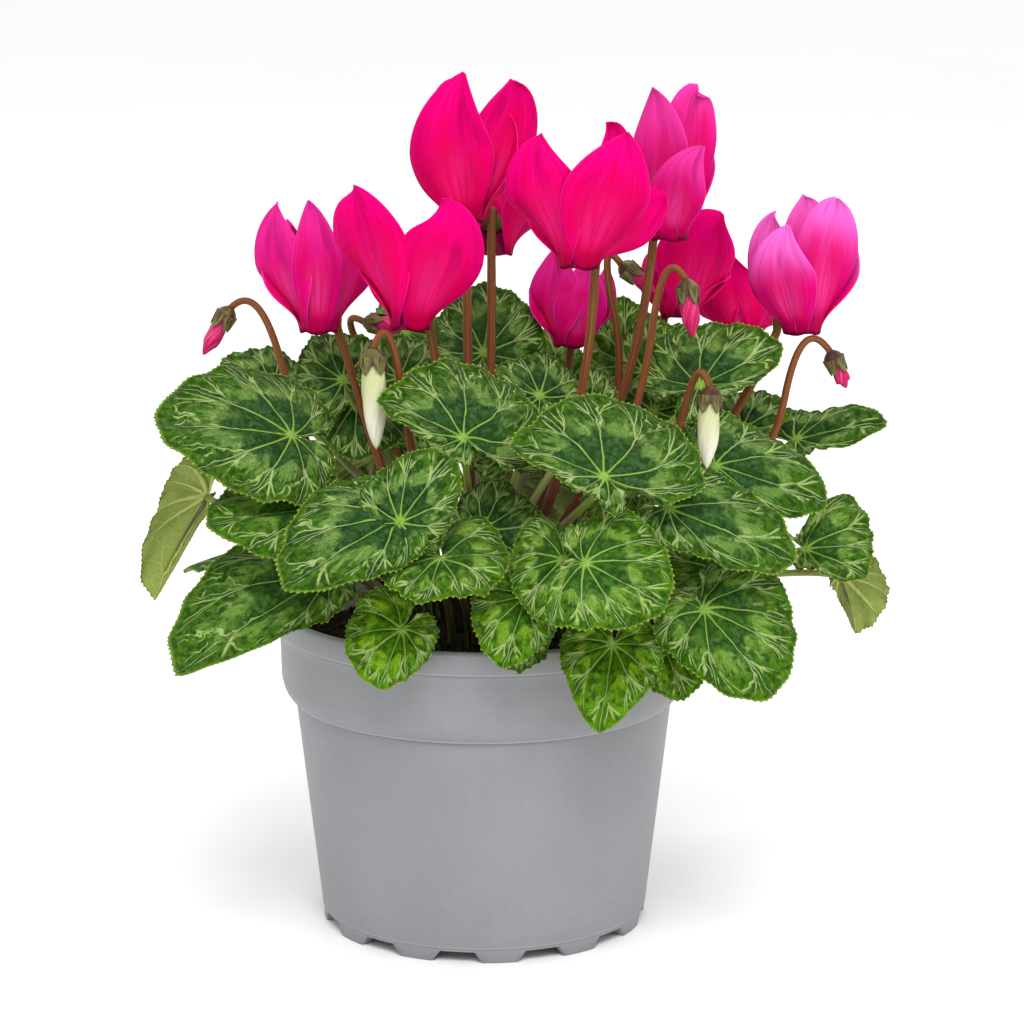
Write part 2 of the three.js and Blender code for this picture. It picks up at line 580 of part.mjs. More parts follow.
// The petal's middle line, from the mouth through its middle to its tip.
const petalLine = ([turn, , , middle, tip]) => {
  const out = V(Math.cos(turn * RAD), Math.sin(turn * RAD), 0);
  const p0 = out.clone().multiplyScalar(MOUTH_RADIUS - 0.5).add(V(0, 0, -0.4));
  const p1 = out.clone().multiplyScalar(MOUTH_RADIUS + 1.2).add(V(0, 0, tip[2] * 0.22));
  const p3 = V(...tip);
  const t = PETAL_WIDEST;
  const p2 = V(middle[0], tip[1], middle[1])
    .addScaledVector(p0, -((1 - t) ** 3))
    .addScaledVector(p1, -3 * t * (1 - t) ** 2)
    .addScaledVector(p3, -(t ** 3))
    .multiplyScalar(1 / (3 * (1 - t) * t * t));
  return (at) => bezier(p0, p1, p2, p3, at);
};

// A petal's point at t from mouth to tip and s from edge to edge, in the
// bloom's frame. Its face twists on the way up and its sides curve in.
const petalPoint = (petal, t, s) => {
  const [turn, half, twist] = petal;
  const line = petalLine(petal);
  const along = line(Math.min(1, t + 0.01)).sub(line(Math.max(0, t - 0.01))).normalize();
  const facing = (turn + twist * smooth(t / 0.6)) * RAD;
  const across = along.clone().cross(V(Math.cos(facing), Math.sin(facing), 0)).normalize();
  const out = across.clone().cross(along);
  const wrap = PETAL_WRAP + 6 * t;
  const bend = (half * petalWidth(t, twist) * s) / wrap;
  return line(t)
    .addScaledVector(across, wrap * Math.sin(bend))
    .addScaledVector(out, wrap * (Math.cos(bend) - 1) * 0.8 + PETAL_TURN * s * smooth(t / 0.5));
};

const petalSolid = (petal) => {
  const rows = [0, 0.28, 0.55, 0.8, 1];
  const columns = [-1, 0, 1];
  const points = [];
  const normals = [];
  for (const t of rows) {
    for (const s of columns) {
      const d = 0.02;
      const ahead = petalPoint(petal, Math.min(1, t + d), s);
      const along = ahead.sub(petalPoint(petal, Math.max(0, t - d), s));
      const over = petalPoint(petal, t, s + d).sub(petalPoint(petal, t, s - d));
      points.push(petalPoint(petal, t, s));
      normals.push(over.cross(along).normalize());
    }
  }
  const wide = columns.length;
  const faces = [];
  for (let i = 0; i + 1 < rows.length; i += 1) {
    for (let j = 0; j + 1 < wide; j += 1) {
      const a = i * wide + j;
      faces.push([a, a + 1, a + wide + 1], [a, a + wide + 1, a + wide]);
    }
  }
  const rim = [];
  for (let j = 0; j < wide; j += 1) rim.push(j);
  for (let i = 1; i < rows.length; i += 1) rim.push(i * wide + wide - 1);
  for (let j = wide - 2; j >= 0; j -= 1) rim.push((rows.length - 1) * wide + j);
  for (let i = rows.length - 2; i > 0; i -= 1) rim.push(i * wide);
  return sheetSolid(points, normals, faces, rim, PETAL);
};

// The short tube of the flower, open at the mouth below.
const throatProfile = [[0, 4.4], [3.9, 2.4], [4.2, -1.2], [5.6, -1.0], [5.6, 1.4], [4.0, 4.9], [0, 6.3]];

const bloomSolid = (bloom) => {
  const frame = frameOf(bloom.mouth, bloom.axis);
  let solid = turnedSolid(throatProfile, 6, null);
  for (const petal of bloom.petals) solid = solid.add(petalSolid(petal));
  return solid.transform(frame.elements);
};

const stemRise = (foot, top, arrive, steps) => {
  const start = V(foot[0], foot[1], CROWN_Z);
  const way = V(...arrive).normalize();
  const across = top.clone().sub(start);
  const p1 = start.clone().add(V(across.x * 0.58, across.y * 0.35, across.z * 0.36));
  const p2 = top.clone().addScaledVector(way, -0.42 * across.z);
  const path = [V(foot[0], foot[1], SOIL_Z - HOLE_DEPTH + 1)];
  for (let i = 0; i <= steps; i += 1) path.push(bezier(start, p1, p2, top, i / steps));
  return path;
};

// The stem passes beside the mouth and hooks in over the tube, where the calyx is.
const hookPlaces = [[7.9, 3.4], [6.5, 8.8], [3.4, 11.8], [0.5, 10.2]];
const calyxProfile = [[0, 6.9], [3.7, 5.7], [3.9, 6.3], [1.8, 9.7], [0, 10.5]];

const bloomStemSolid = (bloom) => {
  const frame = frameOf(bloom.mouth, bloom.axis);
  const way = bloom.stem * RAD;
  const place = ([r, z]) => V(r * Math.cos(way), r * Math.sin(way), z).applyMatrix4(frame);
  const path = stemRise(bloom.foot, place([7.9, -2]), bloom.arrive, 4);
  const hook = hookPlaces.map(place);
  const radii = path.map((p, i) => mix(STEM_RADIUS, STEM_TIP_RADIUS, i / path.length));
  const bar = barSolid([...path, ...hook], [...radii, ...hook.map(() => STEM_TIP_RADIUS)], STEM_SIDES);
  return bar.add(turnedSolid(calyxProfile, 6, frame));
};

const budFrame = (bud) => {
  const z = V(...bud.calyx).sub(V(...bud.tip)).normalize();
  const x = V(0, 1, 0).addScaledVector(z, -z.y).normalize();
  return new THREE.Matrix4().makeBasis(x, z.clone().cross(x), z).setPosition(...bud.calyx);
};

const budLength = (bud) => V(...bud.calyx).distanceTo(V(...bud.tip));
const CUP = 7;

const budSolid = (bud) => {
  const end = budLength(bud);
  const profile = [[0, -end], [bud.girth * 0.5, -end * 0.86], [bud.girth, -mix(CUP, end, 0.3)],
    [bud.girth * 0.85, -CUP * 0.8], [bud.girth * 0.7, -CUP * 0.5], [0, -CUP * 0.3]];
  return turnedSolid(profile, 6, budFrame(bud));
};

const budStemSolid = (bud) => {
  const shoulder = V(...bud.shoulder);
  const corner = V(...bud.corner);
  const calyx = V(...bud.calyx);
  const arrive = corner.clone().sub(shoulder).toArray();
  const path = stemRise(bud.foot, shoulder, arrive, 4);
  for (let i = 1; i <= 4; i += 1) {
    const t = i / 4;
    const a = shoulder.clone().lerp(corner, t);
    const b = corner.clone().lerp(calyx, t);
    path.push(a.lerp(b, t));
  }
  const radii = path.map((p, i) => mix(BUD_STEM_RADIUS * 1.1, BUD_STEM_RADIUS * 0.9, i / path.length));
  const inner = bud.girth + BUD_GAP;
  const cup = [[0, -CUP * 0.2], [inner * 0.85, -CUP * 0.5], [inner * 0.92, -CUP * 0.8],
    [inner + 0.7, -CUP * 0.8], [bud.cup, -CUP * 0.45], [bud.cup * 0.55, 0], [0, 0.8]];
  return barSolid(path, radii, STEM_SIDES).add(turnedSolid(cup, 6, budFrame(bud)));
};

const potSolid = () => {
  const profile = [[0, FLOOR_Z], [WALL_FOOT_RADIUS, FLOOR_Z], [WALL_FOOT_RADIUS + 0.4, FLOOR_Z + 1],
    [WALL_TOP_RADIUS, COLLAR_BOTTOM_Z], [WALL_TOP_RADIUS + 2.7, COLLAR_BOTTOM_Z + 2.4],
    [COLLAR_FULL_RADIUS, COLLAR_FULL_Z], [RIM_RADIUS - LIP_STEP - 0.4, LIP_Z - LIP_STEP],
    [RIM_RADIUS - 0.4, LIP_Z], [RIM_RADIUS, RIM_Z - 0.7], [RIM_RADIUS - 0.7, RIM_Z],
    [RIM_RADIUS - RIM_WALL, RIM_Z],
    [COLLAR_FULL_RADIUS - WALL - 0.6, COLLAR_FULL_Z], [WALL_TOP_RADIUS - WALL, COLLAR_BOTTOM_Z],
    [WALL_FOOT_RADIUS - WALL + 0.5, FLOOR_Z + FLOOR], [0, FLOOR_Z + FLOOR]];
  let solid = turnedSolid(profile, POT_SEGMENTS, null);
  const ring = [[FOOT_INNER_RADIUS, 0], [WALL_FOOT_RADIUS, 0], [WALL_FOOT_RADIUS, FLOOR_Z + 0.8],
    [FOOT_INNER_RADIUS, FLOOR_Z + 0.8], [FOOT_INNER_RADIUS, 0]];
  let feet = turnedSolid(ring, POT_SEGMENTS, null);
  const mid = (FOOT_INNER_RADIUS + WALL_FOOT_RADIUS) / 2;
  const top = mid * Math.sin((15 - FOOT_HALF_DEG - 1.2) * RAD);
  const low = mid * Math.sin((15 - FOOT_HALF_DEG + 1.2) * RAD);
  const notch = new THREE.Shape([new THREE.Vector2(-low, -1), new THREE.Vector2(low, -1),
    new THREE.Vector2(low, 0), new THREE.Vector2(top, FLOOR_Z), new THREE.Vector2(-top, FLOOR_Z),
    new THREE.Vector2(-low, 0)]);
  for (let i = 0; i < FOOT_COUNT; i += 1) {
    const cutter = new THREE.ExtrudeGeometry(notch, { depth: 12, bevelEnabled: false });
    cutter.rotateX(Math.PI / 2);
    cutter.translate(0, mid + 6, 0);
    cutter.rotateZ((FOOT_TURN + 15 + (360 / FOOT_COUNT) * i) * RAD);
    feet = feet.subtract(toSolid(cutter));
  }
  const centre = new THREE.CylinderGeometry(CENTRE_FOOT_RADIUS, CENTRE_FOOT_RADIUS, FLOOR_Z + 0.8, 12);
  centre.rotateX(Math.PI / 2);
  centre.translate(0, 0, (FLOOR_Z + 0.8) / 2);
  solid = solid.add(feet).add(toSolid(centre));
  for (let i = 0; i < DRAIN_COUNT; i += 1) {
    const hole = new THREE.CylinderGeometry(DRAIN_RADIUS, DRAIN_RADIUS, FLOOR + 4, 8);
    hole.rotateX(Math.PI / 2);
    hole.translate(DRAIN_CIRCLE, 0, FLOOR_Z + FLOOR / 2);
    hole.rotateZ((360 / DRAIN_COUNT) * i * RAD);
    solid = solid.subtract(toSolid(hole));
  }
  return solid;
};

// Soil with a lumpy top, a little higher in the middle.
const soilSolid = (holes) => {
  const random = seeded(41);
  const bottom = FLOOR_Z + FLOOR + SOIL_GAP;
  const wallTop = WALL_TOP_RADIUS - WALL - SOIL_GAP;
  const collar = COLLAR_FULL_RADIUS - WALL - 0.6;
  const edge = collar - SOIL_GAP - 0.5;
  const rings = [[WALL_FOOT_RADIUS - WALL + 0.5 - SOIL_GAP, bottom], [wallTop, COLLAR_BOTTOM_Z],
    [edge, COLLAR_FULL_Z + 0.5], [edge, SOIL_Z - 1.5], [edge - 5, SOIL_Z],
    [42, SOIL_Z], [30, SOIL_Z], [18, SOIL_Z]];
  const around = 20;
  const points = [V(0, 0, bottom)];
  const faces = [];
  rings.forEach(([r, z], row) => {
    for (let k = 0; k < around; k += 1) {
      const turn = (2 * Math.PI * (k + (row % 2) * 0.5)) / around;
      const lump = row > 3 ? (random() - 0.5) * 2 * SOIL_ROUGHNESS : 0;
      const crown = row > 3 ? SOIL_CROWN * smooth((edge - r) / edge) : 0;
      points.push(V(r * Math.cos(turn), r * Math.sin(turn), z + lump + crown));
    }
  });
  points.push(V(0, 0, SOIL_Z + SOIL_CROWN));
  const last = points.length - 1;
  for (let k = 0; k < around; k += 1) {
    const next = (k + 1) % around;
    faces.push([0, 1 + next, 1 + k]);
    for (let row = 0; row + 1 < rings.length; row += 1) {
      const a = 1 + row * around + k;
      const b = 1 + row * around + next;
      const c = a + around;
      const d = b + around;
      if (row % 2 === 0) faces.push([a, b, c], [b, d, c]);
      else faces.push([a, d, c], [a, b, d]);
    }
    const top = 1 + (rings.length - 1) * around;
    faces.push([last, top + k, top + next]);
  }
  let solid = solidFrom(points, faces);
  for (const hole of holes) solid = solid.subtract(hole);
  return solid;
};

// A plain hole in the soil around the foot of a stem.
const holeAt = (foot, radius) => {
  const hole = new THREE.CylinderGeometry(radius, radius, HOLE_DEPTH + 12, 4);
  hole.rotateX(Math.PI / 2);
  hole.translate(foot[0], foot[1], SOIL_Z - HOLE_DEPTH + (HOLE_DEPTH + 12) / 2);
  return toSolid(hole);
};

const plant = new THREE.Group();
plant.name = 'potted_cyclamen';

const addPiece = (name, solid, look) => {
  const mesh = new THREE.Mesh(toGeometry(solid), look);
  mesh.name = name;
  plant.add(mesh);
};

const holes = [];
addPiece('pot', potSolid(), materials.pot);
for (const [name, group] of Object.entries(leafGroups)) {
  let solid = null;
  for (const leaf of group.leaves) {
    const made = leafSolid({ ...leaf, foot: group.foot });
    solid = solid ? solid.add(made) : made;
  }
  addPiece(name, solid, materials.leaf);
  holes.push(holeAt(group.foot, PETIOLE_FOOT_RADIUS + HOLE_GAP + 0.7));
}
for (const [number, bloom] of Object.entries(blooms)) {
  addPiece(`bloom_${number}`, bloomSolid(bloom), materials[bloom.color]);
  addPiece(`bloom_stem_${number}`, bloomStemSolid(bloom), materials.stem);
  holes.push(holeAt(bloom.foot, STEM_RADIUS + HOLE_GAP + 0.7));
}
for (const [number, bud] of Object.entries(buds)) {
  addPiece(`bud_${number}`, budSolid(bud), materials[bud.color]);
  addPiece(`bud_stem_${number}`, budStemSolid(bud), materials.stem);
  holes.push(holeAt(bud.foot, BUD_STEM_RADIUS * 1.1 + HOLE_GAP + 0.7));
}
addPiece('soil', soilSolid(holes), materials.soil);

export default plant;
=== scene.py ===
import math

import bpy
import numpy as np
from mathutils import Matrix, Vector
from mathutils.geometry import delaunay_2d_cdt


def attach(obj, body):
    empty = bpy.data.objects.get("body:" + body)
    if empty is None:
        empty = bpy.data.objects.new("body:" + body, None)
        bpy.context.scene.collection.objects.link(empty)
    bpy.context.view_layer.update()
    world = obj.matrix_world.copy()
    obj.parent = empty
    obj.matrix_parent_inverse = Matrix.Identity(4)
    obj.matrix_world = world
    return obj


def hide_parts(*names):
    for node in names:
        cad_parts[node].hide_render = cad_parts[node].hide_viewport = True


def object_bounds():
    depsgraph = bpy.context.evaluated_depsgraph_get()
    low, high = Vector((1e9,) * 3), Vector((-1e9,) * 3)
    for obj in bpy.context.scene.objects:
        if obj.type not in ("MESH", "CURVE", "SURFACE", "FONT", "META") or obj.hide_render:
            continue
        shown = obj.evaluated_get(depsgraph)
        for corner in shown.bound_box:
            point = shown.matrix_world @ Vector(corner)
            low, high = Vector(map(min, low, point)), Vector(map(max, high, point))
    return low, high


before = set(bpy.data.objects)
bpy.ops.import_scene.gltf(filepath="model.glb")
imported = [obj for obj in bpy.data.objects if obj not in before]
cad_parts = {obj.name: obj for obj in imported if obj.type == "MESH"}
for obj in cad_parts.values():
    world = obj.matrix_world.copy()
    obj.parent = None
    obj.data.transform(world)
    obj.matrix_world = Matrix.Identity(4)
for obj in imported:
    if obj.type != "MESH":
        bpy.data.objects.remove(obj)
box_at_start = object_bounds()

# Places are in millimetres, as in the plant's own tables, and turn into metres
# when a mesh is made.
MM = 0.001
RAD = math.pi / 180
TURN = 2 * math.pi
ZERO = (0, 0, 0)

# Pot
RIM_Z = 94.7
RIM_RADIUS = 60.6
RIM_WALL = 2.3
LIP_Z = 88
LIP_STEP = 0.35
COLLAR_BOTTOM_Z = 67.5
COLLAR_FULL_Z = 74
COLLAR_FULL_RADIUS = 59.2
WALL_TOP_RADIUS = 55.1
WALL_FOOT_RADIUS = 47.5
WALL = 1.4
COLLAR_INNER_RADIUS = COLLAR_FULL_RADIUS - WALL - 0.6
FLOOR_Z = 3.3
FLOOR = 2.0
FLOOR_INNER_RADIUS = WALL_FOOT_RADIUS - WALL + 0.5
FOOT_COUNT = 12
FOOT_TURN = 6
FOOT_HALF_DEG = 7.5
FOOT_SLANT_DEG = 1.2
FOOT_BEVEL = 0.25
FOOT_INNER_RADIUS = 43.3
CENTRE_FOOT_RADIUS = 9
DRAIN_COUNT = 6
DRAIN_RADIUS = 4
DRAIN_CIRCLE = 33
POT_SIDES = 240
WALL_RINGS = 12
DRAIN_SIDES = 32
CENTRE_FOOT_SIDES = 48
WELD = 1e-6
# A face of the floor is left out where its middle lies within this share of a hole's radius.
IN_HOLE = 0.995

# Soil
SOIL_Z = 83.5
SOIL_CROWN = 3.5
SOIL_GAP = 0.5
SOIL_SIDES = 150
SOIL_RINGS = 46
SOIL_MIDDLE_RADIUS = 1.2
CRUMB_COUNT = 420
CRUMB_ROWS = 5
CRUMB_SIDES = 7
HOLE_DEPTH = 6
CROWN_Z = SOIL_Z + SOIL_CROWN + 1.5

# Leaves
BLADE = 0.5
BLADE_ROWS = np.array([0.05, 0.13, 0.23, 0.33, 0.43, 0.53, 0.62, 0.71, 0.79, 0.86, 0.92, 0.965, 1.0])
OUTLINE_SAMPLES = 721
SINUS_HALF_DEG = 9
LEAST_TEETH = 22
TOOTH_PITCH = 1.75
TOOTH_SIZE = 0.55
TOOTH_STEPS = np.array([0.0, 0.35, 1.0, 0.4])
VEIN_PLACES = [0, 0.19, 0.38, 0.60, 0.82, 1.0, 1.3]
VEIN_GAPS = [0.19, 0.19, 0.20, 0.22, 0.20, 0.20, 0.20]
LOBE_END_DEG = 178.5
RIM_SHARE = 0.93
SCALLOPS = 11
SCALLOP = 0.012
ARCH_DEG = 16
WAVES = 5
WAVE = 1.2
GROOVE = 0.8
FURROW = 0.35
FURROW_WIDTH = 0.7
FRILL = 0.55
PILLOW_SPACING = 7
PETIOLE_FOOT_RADIUS = 1.25
PETIOLE_TIP_RADIUS = 0.95
PETIOLE_SIDES = 10
PETIOLE_STEPS = 22
RIB_RADIUS = 0.62
RIB_TIP_RADIUS = 0.16
RIB_SHARE = 0.72
RIB_SIDES = 8
RIB_STEPS = 12
# A leaf whose teeth would stand outside the part's own box is drawn in to it.
BOX_LOW, BOX_HIGH = np.array([[float(value) for value in corner] for corner in box_at_start]) / MM

# Blooms and buds
PETAL = 0.35
PETAL_TURN = 1.5
PETAL_MIDDLE = 0.6
PETAL_BELLY = 0.53
PETAL_END = 0.03
PETAL_WRAP = 13
PETAL_ROWS = 30
PETAL_COLUMNS = 17
PETAL_SINK = 0.9
NECK = 3.8
MOUTH_RADIUS = 5.2
THROAT_SIDES = 40
STEM_RADIUS = 1.45
STEM_TIP_RADIUS = 1.15
STEM_SIDES = 14
STEM_STEPS = 30
STEM_TONE = 0.75
CALYX_SIDES = 30
BUD_SIDES = 40
BUD_FOLDS = 5
BUD_FOLD = 0.10
BUD_TWIST = 2.2
BUD_STEM_RADIUS = 1.15
BUD_STEM_SIDES = 12
BUD_STEM_STEPS = 26
BUD_HOOK_STEPS = 16
BUD_STEM_TONE = 0.55
CUP = 7
SEPAL = 0.4
SEPAL_COUNT = 5
SEPAL_HALF_DEG = 38
SEPAL_ROWS = 12
SEPAL_COLUMNS = 7

random = np.random.default_rng(7)


def smooth(x):
    t = np.clip(x, 0, 1)
    return t * t * (3 - 2 * t)


def mix(a, b, t):
    return a + (b - a) * t


def unit(v):
    v = np.asarray(v, float)
    return v / np.linalg.norm(v, axis=-1, keepdims=True)


def vectors(x, y, z):
    return np.stack(np.broadcast_arrays(x, y, z), axis=-1)


def circle(sides):
    """The angles of so many even steps round."""
    return np.linspace(0, TURN, sides, endpoint=False)


def polar(radius, turn, z):
    return vectors(radius * np.cos(turn), radius * np.sin(turn), z)


def run_length(path):
    """How far along its path each point is."""
    return np.concatenate([[0], np.cumsum(np.linalg.norm(np.diff(path, axis=0), axis=1))])


def bezier(p0, p1, p2, p3, t):
    t = np.asarray(t)[..., None]
    s = 1 - t
    return s ** 3 * p0 + 3 * s * s * t * p1 + 3 * s * t * t * p2 + t ** 3 * p3


def smooth_path(points, steps):
    """A curve through the points, with so many steps between each two."""
    points = np.asarray(points, float)
    padded = np.concatenate([[2 * points[0] - points[1]], points, [2 * points[-1] - points[-2]]])
    t = np.linspace(0, 1, steps, endpoint=False)[:, None]
    result = []
    for i in range(len(points) - 1):
        p0, p1, p2, p3 = padded[i:i + 4]
        result.append(0.5 * (2 * p1 + (p2 - p0) * t + (2 * p0 - 5 * p1 + 4 * p2 - p3) * t ** 2
                             + (3 * p1 - p0 - 3 * p2 + p3) * t ** 3))
    return np.concatenate(result + [points[-1:]])


# Mesh making
def grid_faces(rows, columns, closed=False):
    i = np.arange(rows - 1)[:, None]
    j = np.arange(columns if closed else columns - 1)[None, :]
    a = i * columns + j
    b = i * columns + (j + 1) % columns
    return np.stack([a, b, b + columns, a + columns], axis=-1).reshape(-1, 4)


def fan_faces(centre, ring):
    return np.stack([np.full(len(ring) - 1, centre), ring[:-1], ring[1:]], axis=-1)


def grid_normals(points):
    along = np.gradient(points, axis=1)
    down = np.gradient(points, axis=0)
    return unit(np.cross(along, down) + 1e-12)


def with_centre(grid, centre):
    """A grid of vectors as a list, with one for its centre at the end."""
    return np.concatenate([grid.reshape(-1, 3), np.reshape(centre, (1, 3))])


class Shape:
    """The mesh of one piece, with three vectors of data at each vertex."""

    def __init__(self):
        self.points = []
        self.faces = []
        self.slots = []
        self.data = {"place": [], "look": [], "edge": []}
        self.count = 0

    def add(self, points, faces=(), place=ZERO, look=ZERO, edge=ZERO, slot=0):
        points = np.reshape(points, (-1, 3))
        self.points.append(points)
        for key, value in (("place", place), ("look", look), ("edge", edge)):
            self.data[key].append(np.broadcast_to(np.reshape(value, (-1, 3)), points.shape))
        for block in faces:
            self.join(block + self.count, slot)
        self.count += len(points)

    def join(self, faces, slot=0):
        """Faces between points that are already there."""
        self.faces.append(faces)
        self.slots.append(np.full(len(faces), slot))

    def band(self, a, b, slot=0):
        """A band of faces between two loops of points that are already there."""
        self.join(np.stack([np.roll(a, -1), a, b, np.roll(b, -1)], axis=-1), slot)

    def sheet(self, points, thickness, place, look=ZERO, slot=0):
        """A grid of points as a thin closed sheet, upper side first."""
        rows, columns = points.shape[:2]
        half = grid_normals(points) * thickness[..., None] / 2
        count = rows * columns
        index = self.count + np.arange(count).reshape(rows, columns)
        rim = np.concatenate([index[0, :-1], index[:-1, -1], index[-1, :0:-1], index[:0:-1, 0]])
        quads = grid_faces(rows, columns)
        self.add(points + half, [quads], place, look, slot=slot)
        self.add(points - half, [quads[:, ::-1]], place, look, slot=slot)
        self.band(rim, rim + count, slot)

    def turned(self, rows, place, look=ZERO, slot=0):
        """A turned shape from a grid of rings, its first and last row on the axis."""
        count, sides = rows.shape[:2]
        points, places = (np.concatenate([grid[1:-1].reshape(-1, 3), grid[0, :1], grid[-1, :1]])
                          for grid in (rows, place))
        first = np.append(np.arange(sides), 0)
        last = first + (count - 3) * sides
        total = (count - 2) * sides
        faces = [grid_faces(count - 2, sides, True), fan_faces(total, first[::-1]),
                 fan_faces(total + 1, last)]
        self.add(points, faces, places, look, slot=slot)

    def bar(self, path, radii, sides, look, slot=0):
        """A round bar along a path, closed at both ends."""
        tangent = unit(np.gradient(path, axis=0))
        steep = abs(tangent[0][2]) > 0.9
        side = np.array([1.0, 0, 0]) if steep else np.array([0, 0, 1.0])
        turn = circle(sides)[:, None]
        rows = [np.tile(path[0], (sides, 1))]
        for point, way, radius in zip(path, tangent, radii):
            side = unit(side - way * np.dot(side, way))
            rows.append(point + radius * (np.cos(turn) * side + np.sin(turn) * np.cross(way, side)))
        rows.append(np.tile(path[-1], (sides, 1)))
        length = np.pad(run_length(path), 1, "edge")[:, None]
        place = vectors(length / length[-1], turn.T / TURN, length)
        self.turned(np.array(rows), place, look, slot)

    def build(self, name, nodes, materials):
        mesh = bpy.data.meshes.new(name)
        points = np.concatenate(self.points) * MM
        sizes = np.concatenate([np.full(len(block), block.shape[1]) for block in self.faces])
        corners = np.concatenate([block.ravel() for block in self.faces])
        starts = np.concatenate([[0], np.cumsum(sizes)[:-1]])
        mesh.vertices.add(len(points))
        mesh.vertices.foreach_set("co", points.ravel())
        mesh.loops.add(len(corners))
        mesh.loops.foreach_set("vertex_index", corners.astype(np.int32))
        mesh.polygons.add(len(sizes))
        mesh.polygons.foreach_set("loop_start", starts.astype(np.int32))
        mesh.polygons.foreach_set("material_index", np.concatenate(self.slots).astype(np.int32))
        mesh.polygons.foreach_set("use_smooth", np.ones(len(sizes), bool))
        mesh.update(calc_edges=True)
        for key, values in self.data.items():
            layer = mesh.attributes.new(key, "FLOAT_VECTOR", "POINT")
            layer.data.foreach_set("vector", np.concatenate(values).astype(np.float32).ravel())
        for material in materials:
            mesh.materials.append(material)
        mesh.validate()
        piece = bpy.data.objects.new(name, mesh)
        bpy.context.scene.collection.objects.link(piece)
        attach(piece, "root")
        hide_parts(*nodes)


# Node graphs
class Value:
    """A socket of a node graph that adds, subtracts and multiplies like a number."""

    def __init__(self, graph, socket):
        self.graph = graph
        self.socket = socket

    def __add__(self, other):
        return self.graph.math("ADD", self, other)

    def __sub__(self, other):
        return self.graph.math("SUBTRACT", self, other)

    def __rsub__(self, other):
        return self.graph.math("SUBTRACT", other, self)

    def __mul__(self, other):
        return self.graph.math("MULTIPLY", self, other)

    def __abs__(self):
        return self.graph.math("ABSOLUTE", self)


class Graph:
    """A material's node graph; an input may be a number, a colour or a Value."""

    def __init__(self, name):
        self.material = bpy.data.materials.new(name)
        self.material.use_nodes = True
        self.tree = self.material.node_tree
        self.tree.nodes.clear()
        output = self.tree.nodes.new("ShaderNodeOutputMaterial")
        self.shader = self.tree.nodes.new("ShaderNodeBsdfPrincipled")
        self.tree.links.new(self.shader.outputs[0], output.inputs[0])
        self.place = self.make("TexCoord", {}, "Object")
        self.colour = ZERO

    def put(self, socket, value):
        if isinstance(value, Value):
            self.tree.links.new(value.socket, socket)
        elif socket.type == "RGBA":
            socket.default_value = (*value, 1)
        else:
            socket.default_value = value

    def make(self, kind, inputs, output=0, **settings):
        """The output of a new node, from its inputs and settings."""
        node = self.tree.nodes.new(f"ShaderNode{kind}")
        for name, value in settings.items():
            setattr(node, name, value)
        for key, value in inputs.items():
            self.put(node.inputs[key], value)
        return Value(self, node.outputs[output])

    def math(self, operation, a, b=0.0):
        return self.make("Math", {0: a, 1: b}, operation=operation)

    def step(self, value, low, high, start=0.0, end=1.0):
        inputs = dict(enumerate((value, low, high, start, end)))
        return self.make("MapRange", inputs, interpolation_type="SMOOTHSTEP")

    def mix(self, factor, a, b):
        return self.make("Mix", {0: factor, 6: a, 7: b}, 2, data_type="RGBA", clamp_factor=True)

    def vector(self, x, y, z=0.0):
        return self.make("CombineXYZ", {0: x, 1: y, 2: z})

    def split(self, vector):
        node = self.tree.nodes.new("ShaderNodeSeparateXYZ")
        self.put(node.inputs[0], vector)
        return [Value(self, output) for output in node.outputs]

    def data(self, name):
        return self.split(self.make("Attribute", {}, "Vector", attribute_name=name))

    def scaled(self, vector, scale):
        return self.make("Mapping", {"Vector": vector, "Scale": scale})

    def noise(self, vector, scale, detail=2.0, roughness=0.5):
        inputs = {"Vector": vector, "Scale": scale, "Detail": detail, "Roughness": roughness}
        return self.make("TexNoise", inputs)

    def cells(self, vector, scale, feature="F1", size="3D"):
        inputs = {"Vector": vector, "Scale": scale}
        return self.make("TexVoronoi", inputs, "Distance", feature=feature, voronoi_dimensions=size)

    def patches(self, scale, low, high, detail=2.0, roughness=0.5):
        """Patches of noise over the whole piece, from 0 between them to 1."""
        return self.step(self.noise(self.place, scale, detail, roughness), low, high)

    def spread(self, value, low, high):
        """The middle of a noise, spread from low to high."""
        return self.step(value, 0.3, 0.7, low, high)

    def over(self, share, colour):
        """Covers a share of the colour so far with another."""
        self.colour = self.mix(share, self.colour, colour)

    def finish(self, roughness, height=None, depth=0.0, specular=0.5):
        inputs = self.shader.inputs
        self.put(inputs["Base Color"], self.colour)
        self.put(inputs["Roughness"], roughness)
        self.put(inputs["Specular IOR Level"], specular)
        if height is not None:
            bump = self.make("Bump", {"Strength": 1.0, "Distance": depth, "Height": height})
            self.put(inputs["Normal"], bump)
        return self.material


class LeafGraph(Graph):
    """The graph of a leaf. The place of its data is the vein number, the millimetres from
    one vein to the next and the share of the way to the edge; look is the leaf's tone, its
    seed and the millimetres from the joint; edge is the tooth."""

    def __init__(self, name, reach):
        super().__init__(name)
        self.number, self.spacing, self.out = self.data("place")
        self.tone, self.seed, self.away = self.data("look")
        self.wobble = self.noise(self.place, 170) - 0.5
        bent = self.number + self.wobble * 0.22
        self.aside = abs(bent - self.math("ROUND", bent))
        self.beside = self.aside * self.spacing
        width = reach - self.out * (reach * 0.8)
        self.vein = 1 - self.step(self.beside, width * 0.45, width * 1.3)

    def line(self, middle, width):
        """1 on the line that stands so far beside a vein, 0 away from it."""
        off = abs(self.aside - middle) * self.spacing
        return 1 - self.step(off, width * 0.3, width)


